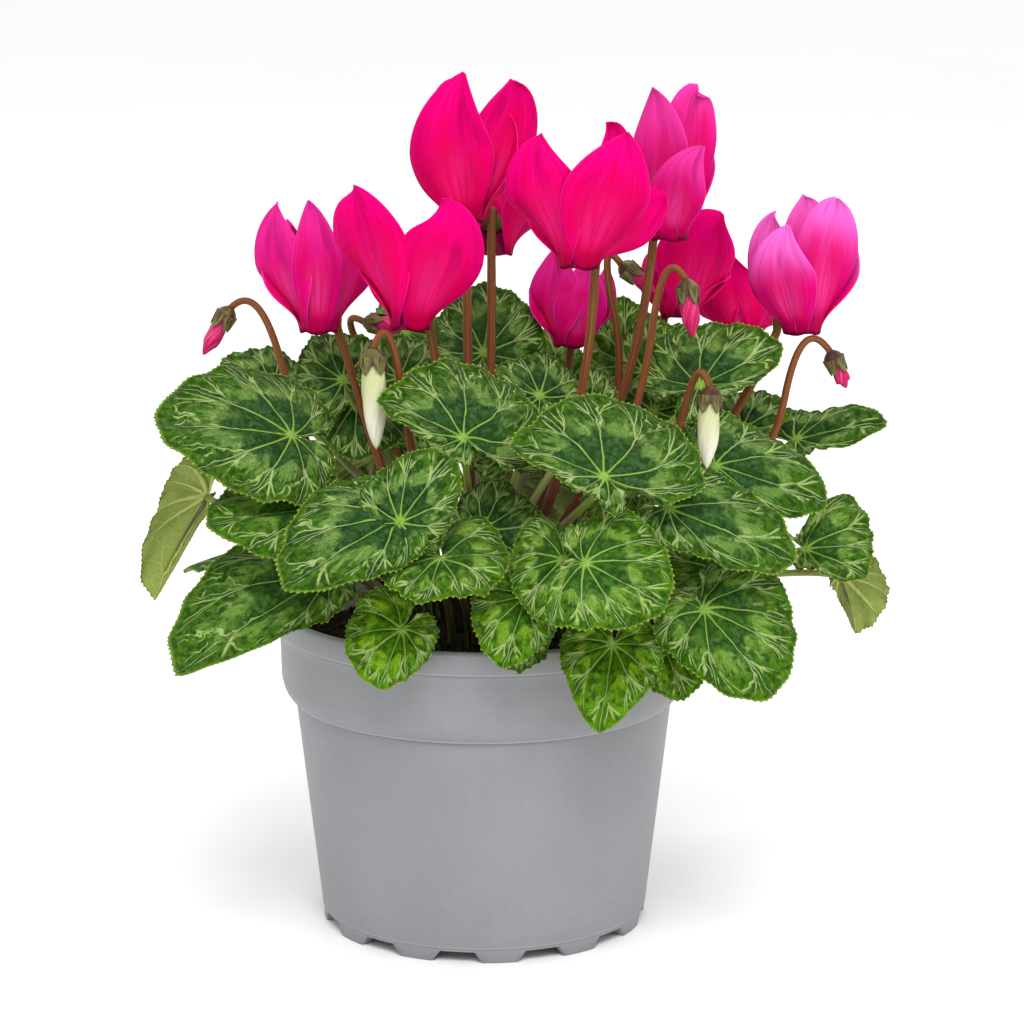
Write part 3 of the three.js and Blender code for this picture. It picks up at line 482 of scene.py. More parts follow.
def leaf_upper():
    g = LeafGraph("leaf_upper", 0.6)
    place, out, tone, wobble = g.place, g.out, g.tone, g.wobble

    # pale forks that leave the veins and run to the edge
    start = g.noise(g.vector(g.math("ROUND", g.number) * 3.7, g.seed * 23.0), 1.0, 0)
    past = out - (start * 0.22 + 0.40)
    later = past - 0.17
    line = 0.0
    for middle, width, begun in ((past * 0.85, 0.5, past), (later * -0.25 + 0.145, 0.42, later),
                                 (later * 1.5 + 0.145, 0.42, later)):
        fork = g.line(middle + wobble * 0.3, width) * g.step(begun, 0.0, 0.03)
        line = g.math("MAXIMUM", fork, line)
    broken = g.patches(260, 0.36, 0.52)
    line = line * broken * (1 - g.step(out, 0.86, 0.97))

    # short white feathers that run outwards over the pale ring
    drift = wobble * 5.0
    feather = g.noise(g.vector(g.number * 7.0 + drift, g.away * 0.13 + drift, g.seed * 5.0), 1.0)
    feather = g.step(feather, 0.58, 0.66) * g.step(out, 0.42, 0.54) * (1 - g.step(out, 0.62, 0.80))

    # the ring of pale blotches, round inside and feathered outside
    spikes = g.noise(g.vector(g.number * 7.0, g.away * 0.12, g.seed * 9.0), 1.0, 3, 0.6)
    inner = 0.56 - g.step(g.aside, 0.0, 0.5) * 0.11 + wobble * 0.22
    outer = (spikes - 0.42) * 0.85 + 0.62
    ring = g.step(out, inner - 0.03, inner + 0.02) * (1 - g.step(out, outer - 0.05, outer + 0.05))
    ring = ring * (g.patches(170, 0.38, 0.54) * 0.88 + 0.12)
    ring = ring * (g.patches(1500, 0.38, 0.62) * 0.4 + 0.6)

    centre = g.mix(tone, (0.017, 0.060, 0.020), (0.064, 0.19, 0.002))
    margin = g.mix(tone, (0.023, 0.080, 0.002), (0.080, 0.22, 0.001))
    g.colour = g.mix(g.step(out, 0.35, 0.9), centre, margin)
    light = g.patches(90, 0.38, 0.66, 3) * (g.step(out, 0.3, 0.7) * 0.4 + 0.15)
    g.over(light, (0.052, 0.135, 0.003))
    g.over(g.patches(480, 0.42, 0.6, 3) * 0.62, (0.004, 0.017, 0.002))
    # painted shade: the blade is darker in a band beside each vein, as if shaded in the furrow along it
    painted_vein_shade = 1 - g.step(g.beside, 0.3, 2.4)
    g.over(painted_vein_shade * 0.5, g.mix(tone, (0.008, 0.034, 0.010), (0.026, 0.095, 0.001)))
    g.over(ring * 0.82, g.mix(tone, (0.135, 0.24, 0.055), (0.20, 0.37, 0.012)))
    fleck = g.patches(800, 0.52, 0.66)
    g.over(fleck * 0.14, g.mix(tone, (0.19, 0.30, 0.13), (0.26, 0.42, 0.03)))
    g.over(feather * 0.30, (0.36, 0.50, 0.17))
    near = 1 - g.step(out, 0.25, 0.75)
    vein_colour = g.mix(near, (0.42, 0.56, 0.24), (0.25, 0.43, 0.07))
    g.over(g.vein * (near * 0.22 + 0.62), vein_colour)
    g.over(line * 0.62, (0.42, 0.55, 0.19))
    g.over(g.step(out, 0.965, 0.995) * 0.5, (0.19, 0.31, 0.03))
    tooth = g.data("edge")[0]
    g.over(g.step(tooth, 0.45, 0.9) * 0.75, (0.40, 0.48, 0.08))
    height = g.cells(place, 1400) * 0.2 + (g.vein + line * 0.6) * -0.45 + g.noise(place, 330, 3)
    rough = g.spread(g.noise(place, 500), 0.34, 0.48)
    return g.finish(rough, height, 0.0010, 0.05)


def leaf_under():
    g = LeafGraph("leaf_under", 0.95)
    net = g.vector(g.away * 0.2 + g.wobble, g.number * 1.4 + g.seed)
    line = 1 - g.step(g.cells(net, 1.0, "DISTANCE_TO_EDGE", "2D"), 0.01, 0.07)
    g.colour = g.mix(g.noise(g.place, 120, 3), (0.17, 0.235, 0.04), (0.34, 0.40, 0.10))
    g.over(g.patches(800, 0.4, 0.7) * 0.3, (0.16, 0.24, 0.05))
    g.over(line * 0.35, (0.44, 0.52, 0.16))
    g.over(g.vein * 0.75, (0.50, 0.55, 0.17))
    height = g.vein + line * 0.5 + g.cells(g.place, 1500) * 0.25
    rough = g.spread(g.noise(g.place, 500), 0.5, 0.62)
    return g.finish(rough, height, 0.0003, 0.12)


# The place of a petiole or a stem is its share of the way up, the share of the way
# round and the length; look is its tone and its seed.
def petiole_skin():
    g = Graph("petiole_skin")
    along, around, _ = g.data("place")
    seed = g.data("look")[1]
    streak = g.noise(g.vector(around * 26.0, along * 2.0, seed), 1.0)
    # painted shade: the petiole is near black at its foot, under the leaves, and green further up
    g.colour = g.mix(g.step(along, 0.4, 1.0), (0.022, 0.028, 0.005), (0.21, 0.29, 0.03))
    g.over(g.patches(90, 0.5, 0.68) * 0.5, (0.19, 0.10, 0.04))
    g.over(g.step(streak, 0.4, 0.7) * 0.4, (0.36, 0.44, 0.12))
    height = streak + g.noise(g.place, 2200) * 0.4
    return g.finish(g.spread(streak, 0.38, 0.52), height, 0.0002, 0.45)


def stem_skin():
    g = Graph("stem_skin")
    along, around, length = g.data("place")
    tone, seed, _ = g.data("look")
    streak = g.noise(g.vector(around * 14.0, length * 0.03, seed), 1.0, 3, 0.6)
    speck = g.patches(2600, 0.42, 0.66)
    lined = g.step(streak, 0.22, 0.78)
    red = g.mix(lined, (0.095, 0.014, 0.005), (0.29, 0.066, 0.022))
    green = g.mix(lined, (0.085, 0.036, 0.010), (0.25, 0.13, 0.030))
    share = g.step(along + (streak - 0.5) * 0.5, 0.15, 0.98)
    g.colour = g.mix(share * tone, red, green)
    g.over(speck * 0.3, (0.11, 0.02, 0.012))
    # painted shade: the stem darkens to near black towards its foot, low among the leaves
    g.over((1 - g.step(along, 0.2, 0.6)) * 0.88, (0.030, 0.010, 0.005))
    height = streak * 0.7 + speck * 0.25
    return g.finish(g.spread(streak, 0.38, 0.52), height, 0.00022, 0.15)


# A petal's place is its share of the way from the mouth, the share across and
# its seed; look is how far its colour goes to lilac.
def petal_skin(name, low, high, lilac, pale, deep):
    g = Graph(name)
    up, across, seed = g.data("place")
    tone = g.data("look")[0]
    edge = abs(across)
    fine = g.noise(g.vector(across * 12.0, up * 1.3, seed * 31.0), 1.0, 3, 0.55)
    broad = g.noise(g.vector(across * 2.2, up * 2.0, seed * 13.0), 1.0, 1)
    rise = g.step(up + (broad - 0.5) * 0.7, 0.3, 0.95)
    tint = g.mix(tone * g.step(up, 0.4, 0.85), high, lilac)
    g.colour = g.mix(rise, low, tint)
    g.over(g.step(broad, 0.48, 0.75) * 0.55, deep)
    g.over(g.step(edge, 0.45, 1.0) * 0.55, tint)
    # pale streaks low in the middle of the petal: its own pale veins, lightened further by a painted
    # highlight
    pale_veins_and_highlight = g.step(up, 0.08, 0.3) * (1 - g.step(up, 0.3, 0.7)) * (1 - g.step(edge, 0.0, 0.7))
    g.over(pale_veins_and_highlight * g.step(fine, 0.3, 0.6) * 0.45, pale)
    g.over(g.step(fine, 0.5, 0.75) * 0.24, deep)
    g.over((1 - g.step(fine, 0.25, 0.45)) * 0.12, pale)
    low_edge = up + (fine - 0.5) * 0.1
    g.over((1 - g.step(low_edge, 0.04, 0.22)) * 0.8, deep)
    g.over(1 - g.step(low_edge, 0.0, 0.05), (0.10, 0.0, 0.018))
    # a thin pale line along each edge: the petal's paler rim, with a painted highlight
    g.over(g.step(edge, 0.95, 0.995) * 0.45, pale)
    height = fine * 0.9 + g.cells(g.place, 2600) * 0.25
    return g.finish(g.spread(fine, 0.45, 0.58), height, 0.0003, 0.02)


# A throat's place is the share of the way round, the share along its profile and
# its seed; a calyx has the share along first, then the share across or round.
def throat_skin():
    g = Graph("throat_skin")
    around, along, seed = g.data("place")
    streak = g.noise(g.vector(around * 40.0, along * 2.0, seed), 1.0)
    g.colour = g.mix(g.step(streak, 0.35, 0.7), (0.14, 0.0, 0.028), (0.42, 0.0, 0.09))
    height = streak + g.noise(g.place, 1800) * 0.4
    return g.finish(g.spread(streak, 0.4, 0.55), height, 0.0003, 0.15)


def calyx_skin():
    g = Graph("calyx_skin")
    along, across, seed = g.data("place")
    ribs = g.noise(g.vector(across * 9.0, along * 1.4, seed), 1.0, 3, 0.6)
    g.colour = g.mix(g.step(ribs, 0.4, 0.6), (0.055, 0.018, 0.014), (0.17, 0.18, 0.05))
    g.over(g.step(along, 0.35, 0.9) * 0.5, (0.22, 0.27, 0.07))
    g.over(g.step(abs(across), 0.55, 0.95) * 0.6, (0.12, 0.035, 0.045))
    height = ribs + g.noise(g.place, 2400) * 0.5
    return g.finish(g.spread(ribs, 0.42, 0.58), height, 0.0003, 0.15)


# A bud's place is its share of the way to the tip, the share of the way round and
# its seed.
def bud_skin(name, low, tip, groove):
    g = Graph(name)
    along, around, seed = g.data("place")
    streak = g.noise(g.vector(around * 22.0, along * 2.2, seed), 1.0, 3, 0.6)
    g.colour = g.mix(g.step(along, 0.3, 0.85), low, tip)
    g.over(g.step(streak, 0.45, 0.72) * 0.4, groove)
    height = streak + g.noise(g.place, 2600) * 0.3
    return g.finish(g.spread(streak, 0.42, 0.56), height, 0.00025, 0.12)


def pot_plastic():
    g = Graph("pot_plastic")
    cloud = g.noise(g.place, 22, 4, 0.6)
    fine = g.noise(g.place, 1600, 3, 0.6)
    flow = g.noise(g.scaled(g.place, (260, 260, 14)), 1.0, 3, 0.6)
    turned = g.noise(g.scaled(g.place, (6, 6, 900)), 1.0)
    dust = g.patches(340, 0.58, 0.72, 5, 0.7)
    g.colour = g.mix(g.step(cloud, 0.3, 0.7), (0.222, 0.226, 0.240), (0.250, 0.254, 0.270))
    g.over(g.step(flow, 0.42, 0.7) * 0.08, (0.29, 0.295, 0.31))
    g.over(dust * 0.16, (0.35, 0.35, 0.355))
    g.over(g.step(fine, 0.48, 0.72) * 0.26, (0.17, 0.173, 0.185))
    up = g.split(g.place)[2]
    # painted shade: a dark band just under each edge of the wall, with a painted highlight: a light line
    # above it
    for z, dark in ((COLLAR_BOTTOM_Z, 0.55), (LIP_Z, 0.4), (FLOOR_Z + 1, 0.3)):
        below = g.step(up, (z - 0.7) * MM, (z - 0.35) * MM)
        above = g.step(up, (z - 0.1) * MM, (z + 0.05) * MM)
        end = g.step(up, (z + 0.35) * MM, (z + 0.7) * MM)
        g.over(below * (1 - above) * dark, (0.09, 0.09, 0.10))
        g.over(above * (1 - end) * (dark * 0.6), (0.46, 0.465, 0.48))
    height = fine * 0.6 + turned * 0.5
    rough = g.spread(fine * 0.5 + cloud * 0.5, 0.44, 0.58)
    return g.finish(rough, height, 0.00012, 0.4)


def soil_crumb():
    g = Graph("soil_crumb")
    lump = g.noise(g.place, 300, 5, 0.7)
    fibre = g.noise(g.place, 1800, 4, 0.7)
    g.colour = g.mix(g.step(lump, 0.35, 0.65), (0.009, 0.006, 0.004), (0.034, 0.022, 0.014))
    g.over(g.step(fibre, 0.55, 0.75) * 0.6, (0.075, 0.05, 0.03))
    height = lump + fibre * 0.5
    return g.finish(g.spread(fibre, 0.8, 0.98), height, 0.0016, 0.2)


def floor_paint():
    g = Graph("floor_paint")
    g.colour = g.mix(g.noise(g.place, 3.0), (0.93, 0.93, 0.93), (0.96, 0.96, 0.96))
    return g.finish(0.7, specular=0.2)


SKINS = {
    "leaf": leaf_upper(),
    "leaf_back": leaf_under(),
    "petiole": petiole_skin(),
    "petal_red_pink": petal_skin("petal_red_pink_skin", (0.63, 0.0, 0.075), (0.74, 0.0, 0.175),
                                 (0.80, 0.006, 0.24), (0.86, 0.035, 0.32), (0.30, 0.0, 0.028)),
    "petal_magenta": petal_skin("petal_magenta_skin", (0.58, 0.0, 0.095), (0.72, 0.004, 0.24),
                                (0.92, 0.15, 0.66), (0.84, 0.09, 0.42), (0.30, 0.0, 0.045)),
    "throat": throat_skin(),
    "stem": stem_skin(),
    "calyx": calyx_skin(),
    "bud_pink": bud_skin("bud_pink_skin", (0.50, 0.015, 0.12), (0.46, 0.0, 0.08), (0.78, 0.22, 0.38)),
    "bud_white": bud_skin("bud_white_skin", (0.50, 0.52, 0.27), (0.76, 0.74, 0.60), (0.50, 0.47, 0.34)),
    "pot": pot_plastic(),
    "soil": soil_crumb(),
}


# Leaves
class Leaf:
    """A leaf with the places of its joint and its tip. face is the direction that the
    upper side leans to and how far, wide and lobe are the blade's reach to the left and
    right, point is how far the tip is drawn out, skew turns the gap between the lobes,
    and the petiole rises by the share lift or bends past the place via."""

    def __init__(self, joint, tip, face, wide, lobe, point=0.08, skew=0, droop=14, lift=0.5, via=None):
        self.joint = np.array(joint, float)
        self.wide = wide
        self.lobe = lobe
        self.point = point
        self.skew = skew
        self.droop = droop * RAD
        self.lift = lift
        chord = np.array(tip, float) - self.joint
        reach = np.linalg.norm(chord)
        way = chord / reach
        lean, tilt = np.array(face) * RAD
        hint = np.array([math.sin(tilt) * math.cos(lean), math.sin(tilt) * math.sin(lean), math.cos(tilt)])
        normal = unit(hint - way * np.dot(hint, way))
        half = self.droop / 2
        self.ahead = way * math.cos(half) + normal * math.sin(half)
        self.up = normal * math.cos(half) - way * math.sin(half)
        self.left = np.cross(self.up, self.ahead)
        self.length = reach * half / math.sin(half)
        self.via = self.joint - self.up * 11 - self.ahead * 4 if via is None else np.array(via, float)

    def radius(self, angle):
        """The reach at an angle from the tip, the share of the way round, and its end."""
        left = angle >= 0
        end = 180 - SINUS_HALF_DEG + np.where(left, self.skew, -self.skew)
        share = np.abs(angle) / end
        wide = np.where(left, *self.wide)
        lobe = np.where(left, *self.lobe)
        turn = share * math.pi
        front = 1 / np.hypot(np.cos(turn) / (self.length * (1 - self.point)), np.sin(turn) / wide)
        front = front + self.point * self.length * np.clip(1 - share / 0.2, 0, 1) ** 1.4
        back = np.exp(mix(np.log(wide), np.log(lobe), smooth((share - 0.5) / 0.34)))
        r = np.where(share < 0.5, front, back)
        return r * (1 - 0.34 * smooth((share - 0.84) / 0.16)), share, end

    def at(self, u, v, lift=0.0):
        """The places so far ahead of the joint, to its left and above the blade."""
        wide = np.where(v >= 0, *self.wide)
        arch = ARCH_DEG * RAD / wide
        far = np.hypot(u / self.length, v / wide)
        wave = WAVE * smooth(far) * np.sin(WAVES * np.arctan2(v, u))
        groove = GROOVE * (1 - np.exp(-np.abs(v) / 5))
        turn = arch * np.abs(v)
        side = np.sign(v) * np.sin(turn) / arch
        rise = -(1 - np.cos(turn)) / arch + wave + groove + lift
        bend = self.droop / self.length
        angle = bend * np.maximum(0, u)
        x = np.where(u > 0, np.sin(angle) / bend, u) + rise * np.sin(angle)
        z = np.where(u > 0, -(1 - np.cos(angle)) / bend, 0) + rise * np.cos(angle)
        return (self.joint + x[..., None] * self.ahead + side[..., None] * self.left
                + z[..., None] * self.up)


# The foot of each group of leaves on the crown, its tone from blue green to yellow
# green, and its leaves.
LEAF_GROUPS = {
    "leaf_left_top": ([-16, -4], 0.12, [
        Leaf([-53, -40, 152], [-90, -52, 157], [-110, 42], [25, 28], [15, 17], point=0.04),
    ]),
    "leaf_left_middle": ([-19, -12], 0.4, [
        Leaf([-46, -50, 133], [-76, -60, 131], [-120, 47], [20, 20], [14, 14]),
    ]),
    "leaves_front_left": ([-9, -19], 0.12, [
        Leaf([-23, -66, 134], [-53, -86, 119], [-100, 42], [14, 25], [12, 17], skew=20),
        Leaf([-22, -69, 134], [-8, -67, 152], [-95, 60], [15, 13], [9, 9], droop=6, point=0.02),
    ]),
    "leaf_left_low": ([-22, -18], 0.3, [
        Leaf([-43, -52, 114], [-83.5, -72, 92.5], [-115, 52], [12, 29], [8, 14], point=0.02),
    ]),
    "leaf_far_left": ([-26, -4], 0.12, [
        Leaf([-80, -5, 127], [-98, 0, 95], [105, 74], [14.5, 1.8], [19, 3]),
    ]),
    "leaves_back_left_top": ([-15, 8], 0.12, [
        Leaf([-41, 8, 159], [-48, 17, 171], [-98, 34], [14, 16], [12, 14]),
        Leaf([-24, -10, 163], [-26, -1, 174], [-95, 34], [12, 14], [10, 13]),
        Leaf([-62, 12, 156], [-76, 20, 164], [170, 45], [13, 13], [10, 10]),
        Leaf([-37, 12, 152], [-38, 6, 135], [-92, 66], [18, 13], [13, 8]),
        Leaf([-18, 16, 138], [-9, 24, 140], [-116, 44], [12, 11], [9, 8]),
    ]),
    "leaf_top_back": ([-2, 14], 0.12, [
        Leaf([0, 26, 164], [3, 42, 182], [-90, 34], [19, 19], [14, 15]),
    ]),
    "leaf_front_top_left": ([-2, -11], 0.12, [
        Leaf([-5, -58, 155], [-29, -55, 165], [-95, 38], [9, 28], [9, 22], skew=-26),
    ]),
    "leaf_front_middle_left": ([-4, -24], 0.45, [
        Leaf([-11, -70, 124], [-15, -86, 115], [-95, 30], [19, 19], [21, 14], skew=24),
    ]),
    "leaf_front_round": ([-12, -26], 1.0, [
        Leaf([-22, -62, 102], [-28, -70, 87], [-100, 62], [11, 16], [10, 14], skew=-16, point=0.02),
    ]),
    "leaves_front_low": ([2, -29], 0.8, [
        Leaf([12, -66, 112], [6, -78, 95], [-95, 55], [12, 15], [9, 11]),
        Leaf([11, -58, 97.6], [11, -66, 90.6], [-90, 50], [8, 8], [6, 6]),
    ]),
    "leaves_front_centre": ([8, -22], 0.45, [
        Leaf([22, -68, 123], [18, -78, 107], [-100, 50], [12, 15], [14, 16]),
        Leaf([28, -80, 125], [50, -90, 115], [-80, 55], [21, 20], [13, 7]),
    ]),
    "leaf_front_top_wide": ([8, -13], 0.12, [
        Leaf([33, -72, 147], [7, -66, 155], [-92, 38], [8, 31], [12, 29], skew=-10),
    ]),
    "leaf_right_middle": ([17, -17], 0.12, [
        Leaf([51, -62, 136], [86, -60, 120], [-80, 42], [22, 13], [16, 11]),
    ]),
    "leaf_right_upper": ([23, -10], 0.12, [
        Leaf([65, -38, 143], [97, -34, 131], [-75, 40], [22, 13], [12, 12], via=[62, -22, 125]),
    ]),
    "leaf_right_low": ([22, -23], 0.4, [
        Leaf([61, -60, 107], [80.5, -70, 85], [-72, 62], [26, 16], [18, 9], skew=-26, via=[52, -42, 116]),
    ]),
    "leaves_front_hanging": ([14, -30], 1.0, [
        Leaf([36, -64, 98], [32, -80, 77], [-92, 60], [15, 15], [12, 12], point=0.25, via=[31, -53, 108]),
        Leaf([49, -53, 98], [56, -63, 82], [-80, 58], [14, 12], [9, 9], via=[38, -43, 108]),
        Leaf([41, -53, 138], [28, -45, 136], [-86, 39], [12, 17], [9, 13]),
    ]),
    "leaves_far_right_low": ([27, -6], 0.35, [
        Leaf([93, -10, 112.5], [111, -15, 106], [-60, 55], [26, 7], [6, 2], skew=-12, via=[84, -8, 110]),
        Leaf([104, -2, 103], [110, 2, 84.5], [70, 66], [4, 15], [3, 13], via=[88, 0, 106]),
        Leaf([66, -33, 112], [50, -38, 109], [-80, 53], [21, 16], [16, 12]),
    ]),
    "leaf_far_right": ([26, 8], 0.12, [
        Leaf([92, 14, 140], [118, 12, 146], [-60, 38], [12, 7], [20, 5], skew=-16),
    ]),
    "leaves_right_top": ([18, -4], 0.12, [
        Leaf([62, -12, 161], [86, -6, 171], [-85, 35], [25, 9.5], [18, 14]),
        Leaf([76, 15, 143], [89, 22, 149], [-70, 38], [15, 8], [10, 8]),
    ]),
    "leaves_top_middle": ([1, -17], 0.12, [
        Leaf([16, -12, 158], [4, -5, 166], [-90, 32], [8, 16], [8, 14]),
        Leaf([5, -38, 146], [-3, -34, 154], [-90, 35], [10, 14], [8, 12]),
        Leaf([30, -6, 152], [33, 1, 164], [-90, 40], [9, 9], [8, 8]),
        Leaf([0, -48, 127], [7, -39, 139], [-93, 69], [11, 20], [8, 15]),
    ]),
    "leaves_right_back": ([22, 12], 0.35, [
        Leaf([53, 20, 160], [63, 28, 170], [-85, 30], [15, 12], [14, 12]),
        Leaf([47, 16, 160], [49, 26, 176], [-88, 36], [9, 14], [8, 12]),
        Leaf([50, 17, 148], [62, 24, 158], [-64, 54], [14, 13], [11, 10]),
        Leaf([64, 28, 116], [96, 40, 103], [28, 42], [22, 21], [16, 13]),
        Leaf([46, 52, 106], [68, 78, 89], [48, 54], [21, 21], [15, 15]),
    ]),
    "leaves_back_left": ([-13, 16], 0.35, [
        Leaf([-57, 24, 106], [-90, 38, 94], [158, 50], [21, 21], [15, 15]),
        Leaf([-42, 38, 134], [-68, 62, 126], [138, 40], [22, 22], [16, 16]),
        Leaf([-28, 54, 104], [-46, 84, 88], [118, 52], [21, 18], [15, 13]),
        Leaf([-32, 28, 132], [-40, 50, 111], [112, 54], [16, 10], [6, 6], lift=0.2, via=[-40, 30, 116]),
        Leaf([-24, 46, 167], [-8, 56, 161], [-96, 45], [14, 12], [11, 9]),
    ]),
    "leaves_back_right": ([4, 22], 0.35, [
        Leaf([9, 63, 102], [13, 97, 86], [84, 54], [17, 20], [12, 15]),
        Leaf([10, 44, 122], [13, 66, 101], [88, 56], [20, 22], [11, 13]),
        Leaf([-10, 52, 130], [-17, 88, 120], [101, 40], [22, 22], [16, 16]),
        Leaf([22, 52, 128], [37, 84, 118], [66, 42], [22, 22], [16, 16]),
        Leaf([0, 40, 151], [0, 72, 147], [90, 26], [20, 20], [15, 15]),
        Leaf([43, 46, 157], [42, 56, 176], [-88, 38], [13, 13], [10, 10]),
        Leaf([21, 48, 150], [22, 60, 166], [-90, 38], [13, 11], [9, 9]),
    ]),
}


def add_blade(shape, leaf, tone, seed):
    last = 180 - SINUS_HALF_DEG
    angle = np.linspace(leaf.skew - last, leaf.skew + last, OUTLINE_SAMPLES)
    run = run_length(polar(leaf.radius(angle)[0], angle * RAD, 0))
    teeth = max(LEAST_TEETH, round(run[-1] / TOOTH_PITCH))
    columns = teeth * len(TOOTH_STEPS) + 1
    angle = np.interp(np.linspace(0, run[-1], columns), run, angle)
    radius, share, end = leaf.radius(angle)
    tooth = np.resize(TOOTH_STEPS, columns)
    size = TOOTH_SIZE * (0.75 + 0.5 * random.random(teeth + 1)).repeat(len(TOOTH_STEPS))[:columns]
    scallop = 1 + SCALLOP * np.sin(np.arange(columns) / columns * TURN * SCALLOPS + seed * 9)

    out = BLADE_ROWS[:, None]
    edge = np.clip((out - RIM_SHARE) / 0.07, 0, 1)
    reach = radius * scallop * out + tooth * size * edge - 0.5 * edge
    # the two lobes meet at the joint
    turn = angle * RAD * mix(LOBE_END_DEG / end, 1, smooth(out / 0.4))
    bent = share * (1 + 0.18 * out * out)
    number = np.sign(angle) * np.interp(bent, VEIN_PLACES, range(len(VEIN_PLACES)))
    gap = np.interp(bent, VEIN_PLACES, VEIN_GAPS) * end * RAD
    spacing = reach * gap
    part = number - np.round(number)
    pillow = (1 - np.cos(TURN * part)) / 2 * np.clip(spacing / PILLOW_SPACING, 0, 1)
    pillow = pillow * np.sin(math.pi * out) ** 0.7
    furrow = -FURROW * np.exp(-(part * spacing / FURROW_WIDTH) ** 2) * (1 - 0.6 * out)
    frill = FRILL * smooth((out - 0.72) / 0.28) * np.sin(number * TURN * 1.5 + seed * 20)
    points = leaf.at(reach * np.cos(turn), reach * np.sin(turn), pillow + furrow + frill)
    low = points.min(axis=(0, 1))
    high = points.max(axis=(0, 1))
    room_low = np.maximum(low, BOX_LOW + BLADE)
    room_high = np.minimum(high, BOX_HIGH - BLADE)
    points = room_low + (points - low) * (room_high - room_low) / (high - low)

    half = -grid_normals(points) * (BLADE / 2 * (1 - 0.45 * out)[..., None])
    joint = leaf.at(np.zeros(1), np.zeros(1))
    place = with_centre(vectors(number, spacing, out), ZERO)
    look = with_centre(vectors(tone, seed, reach), (tone, seed, 0))
    tip = with_centre(vectors(tooth * edge, 0, 0), ZERO)
    count = number.size
    quads = grid_faces(*number.shape)
    fan = fan_faces(count, np.arange(columns))
    # the first column is the right side's lobe, so the upper side turns the other way
    for sign, slot in ((1, 0), (-1, 1)):
        side = with_centre(points + sign * half, joint + sign * leaf.up * BLADE / 2)
        shape.add(side, [quads[:, ::-sign], fan[:, ::sign]], place, look, tip, slot)
    upper = shape.count - 2 * (count + 1)
    index = np.arange(count).reshape(number.shape)
    rim = upper + np.concatenate([[count], index[:, 0], index[-1, 1:-1], index[::-1, -1]])
    shape.band(rim + count + 1, rim)


def rise_path(foot, p1, p2, top, steps):
    """A curve from inside the soil's hole over the crown to its top."""
    start = np.array([*foot, CROWN_Z])
    below = [*foot, SOIL_Z - HOLE_DEPTH + 1]
    return np.concatenate([[below], bezier(start, p1, p2, top, np.linspace(0, 1, steps))])


def add_petiole(shape, leaf, foot, seed):
    start = np.array([*foot, CROWN_Z])
    p1 = start + ((leaf.joint - start) * [0.1, 0.1, leaf.lift] + [0, 0, 3])
    path = rise_path(foot, p1, leaf.via, leaf.joint - leaf.up * 0.15, PETIOLE_STEPS)
    radii = np.linspace(PETIOLE_FOOT_RADIUS, PETIOLE_TIP_RADIUS, len(path))
    radii[-3:] *= [1.05, 1.15, 0.9]
    shape.bar(path, radii, PETIOLE_SIDES, (0, seed, 0), 2)
    # the rib under the main vein
    t = np.linspace(0, RIB_SHARE, RIB_STEPS)
    radii = np.linspace(RIB_RADIUS, RIB_TIP_RADIUS, len(t))
    rib = leaf.at(t * leaf.length, 0 * t, -FURROW * (1 - 0.6 * t))
    rib = rib - leaf.up * (BLADE * 0.5 + radii - 0.2)[:, None]
    shape.bar(rib, radii, RIB_SIDES, (0, seed, 0), 2)


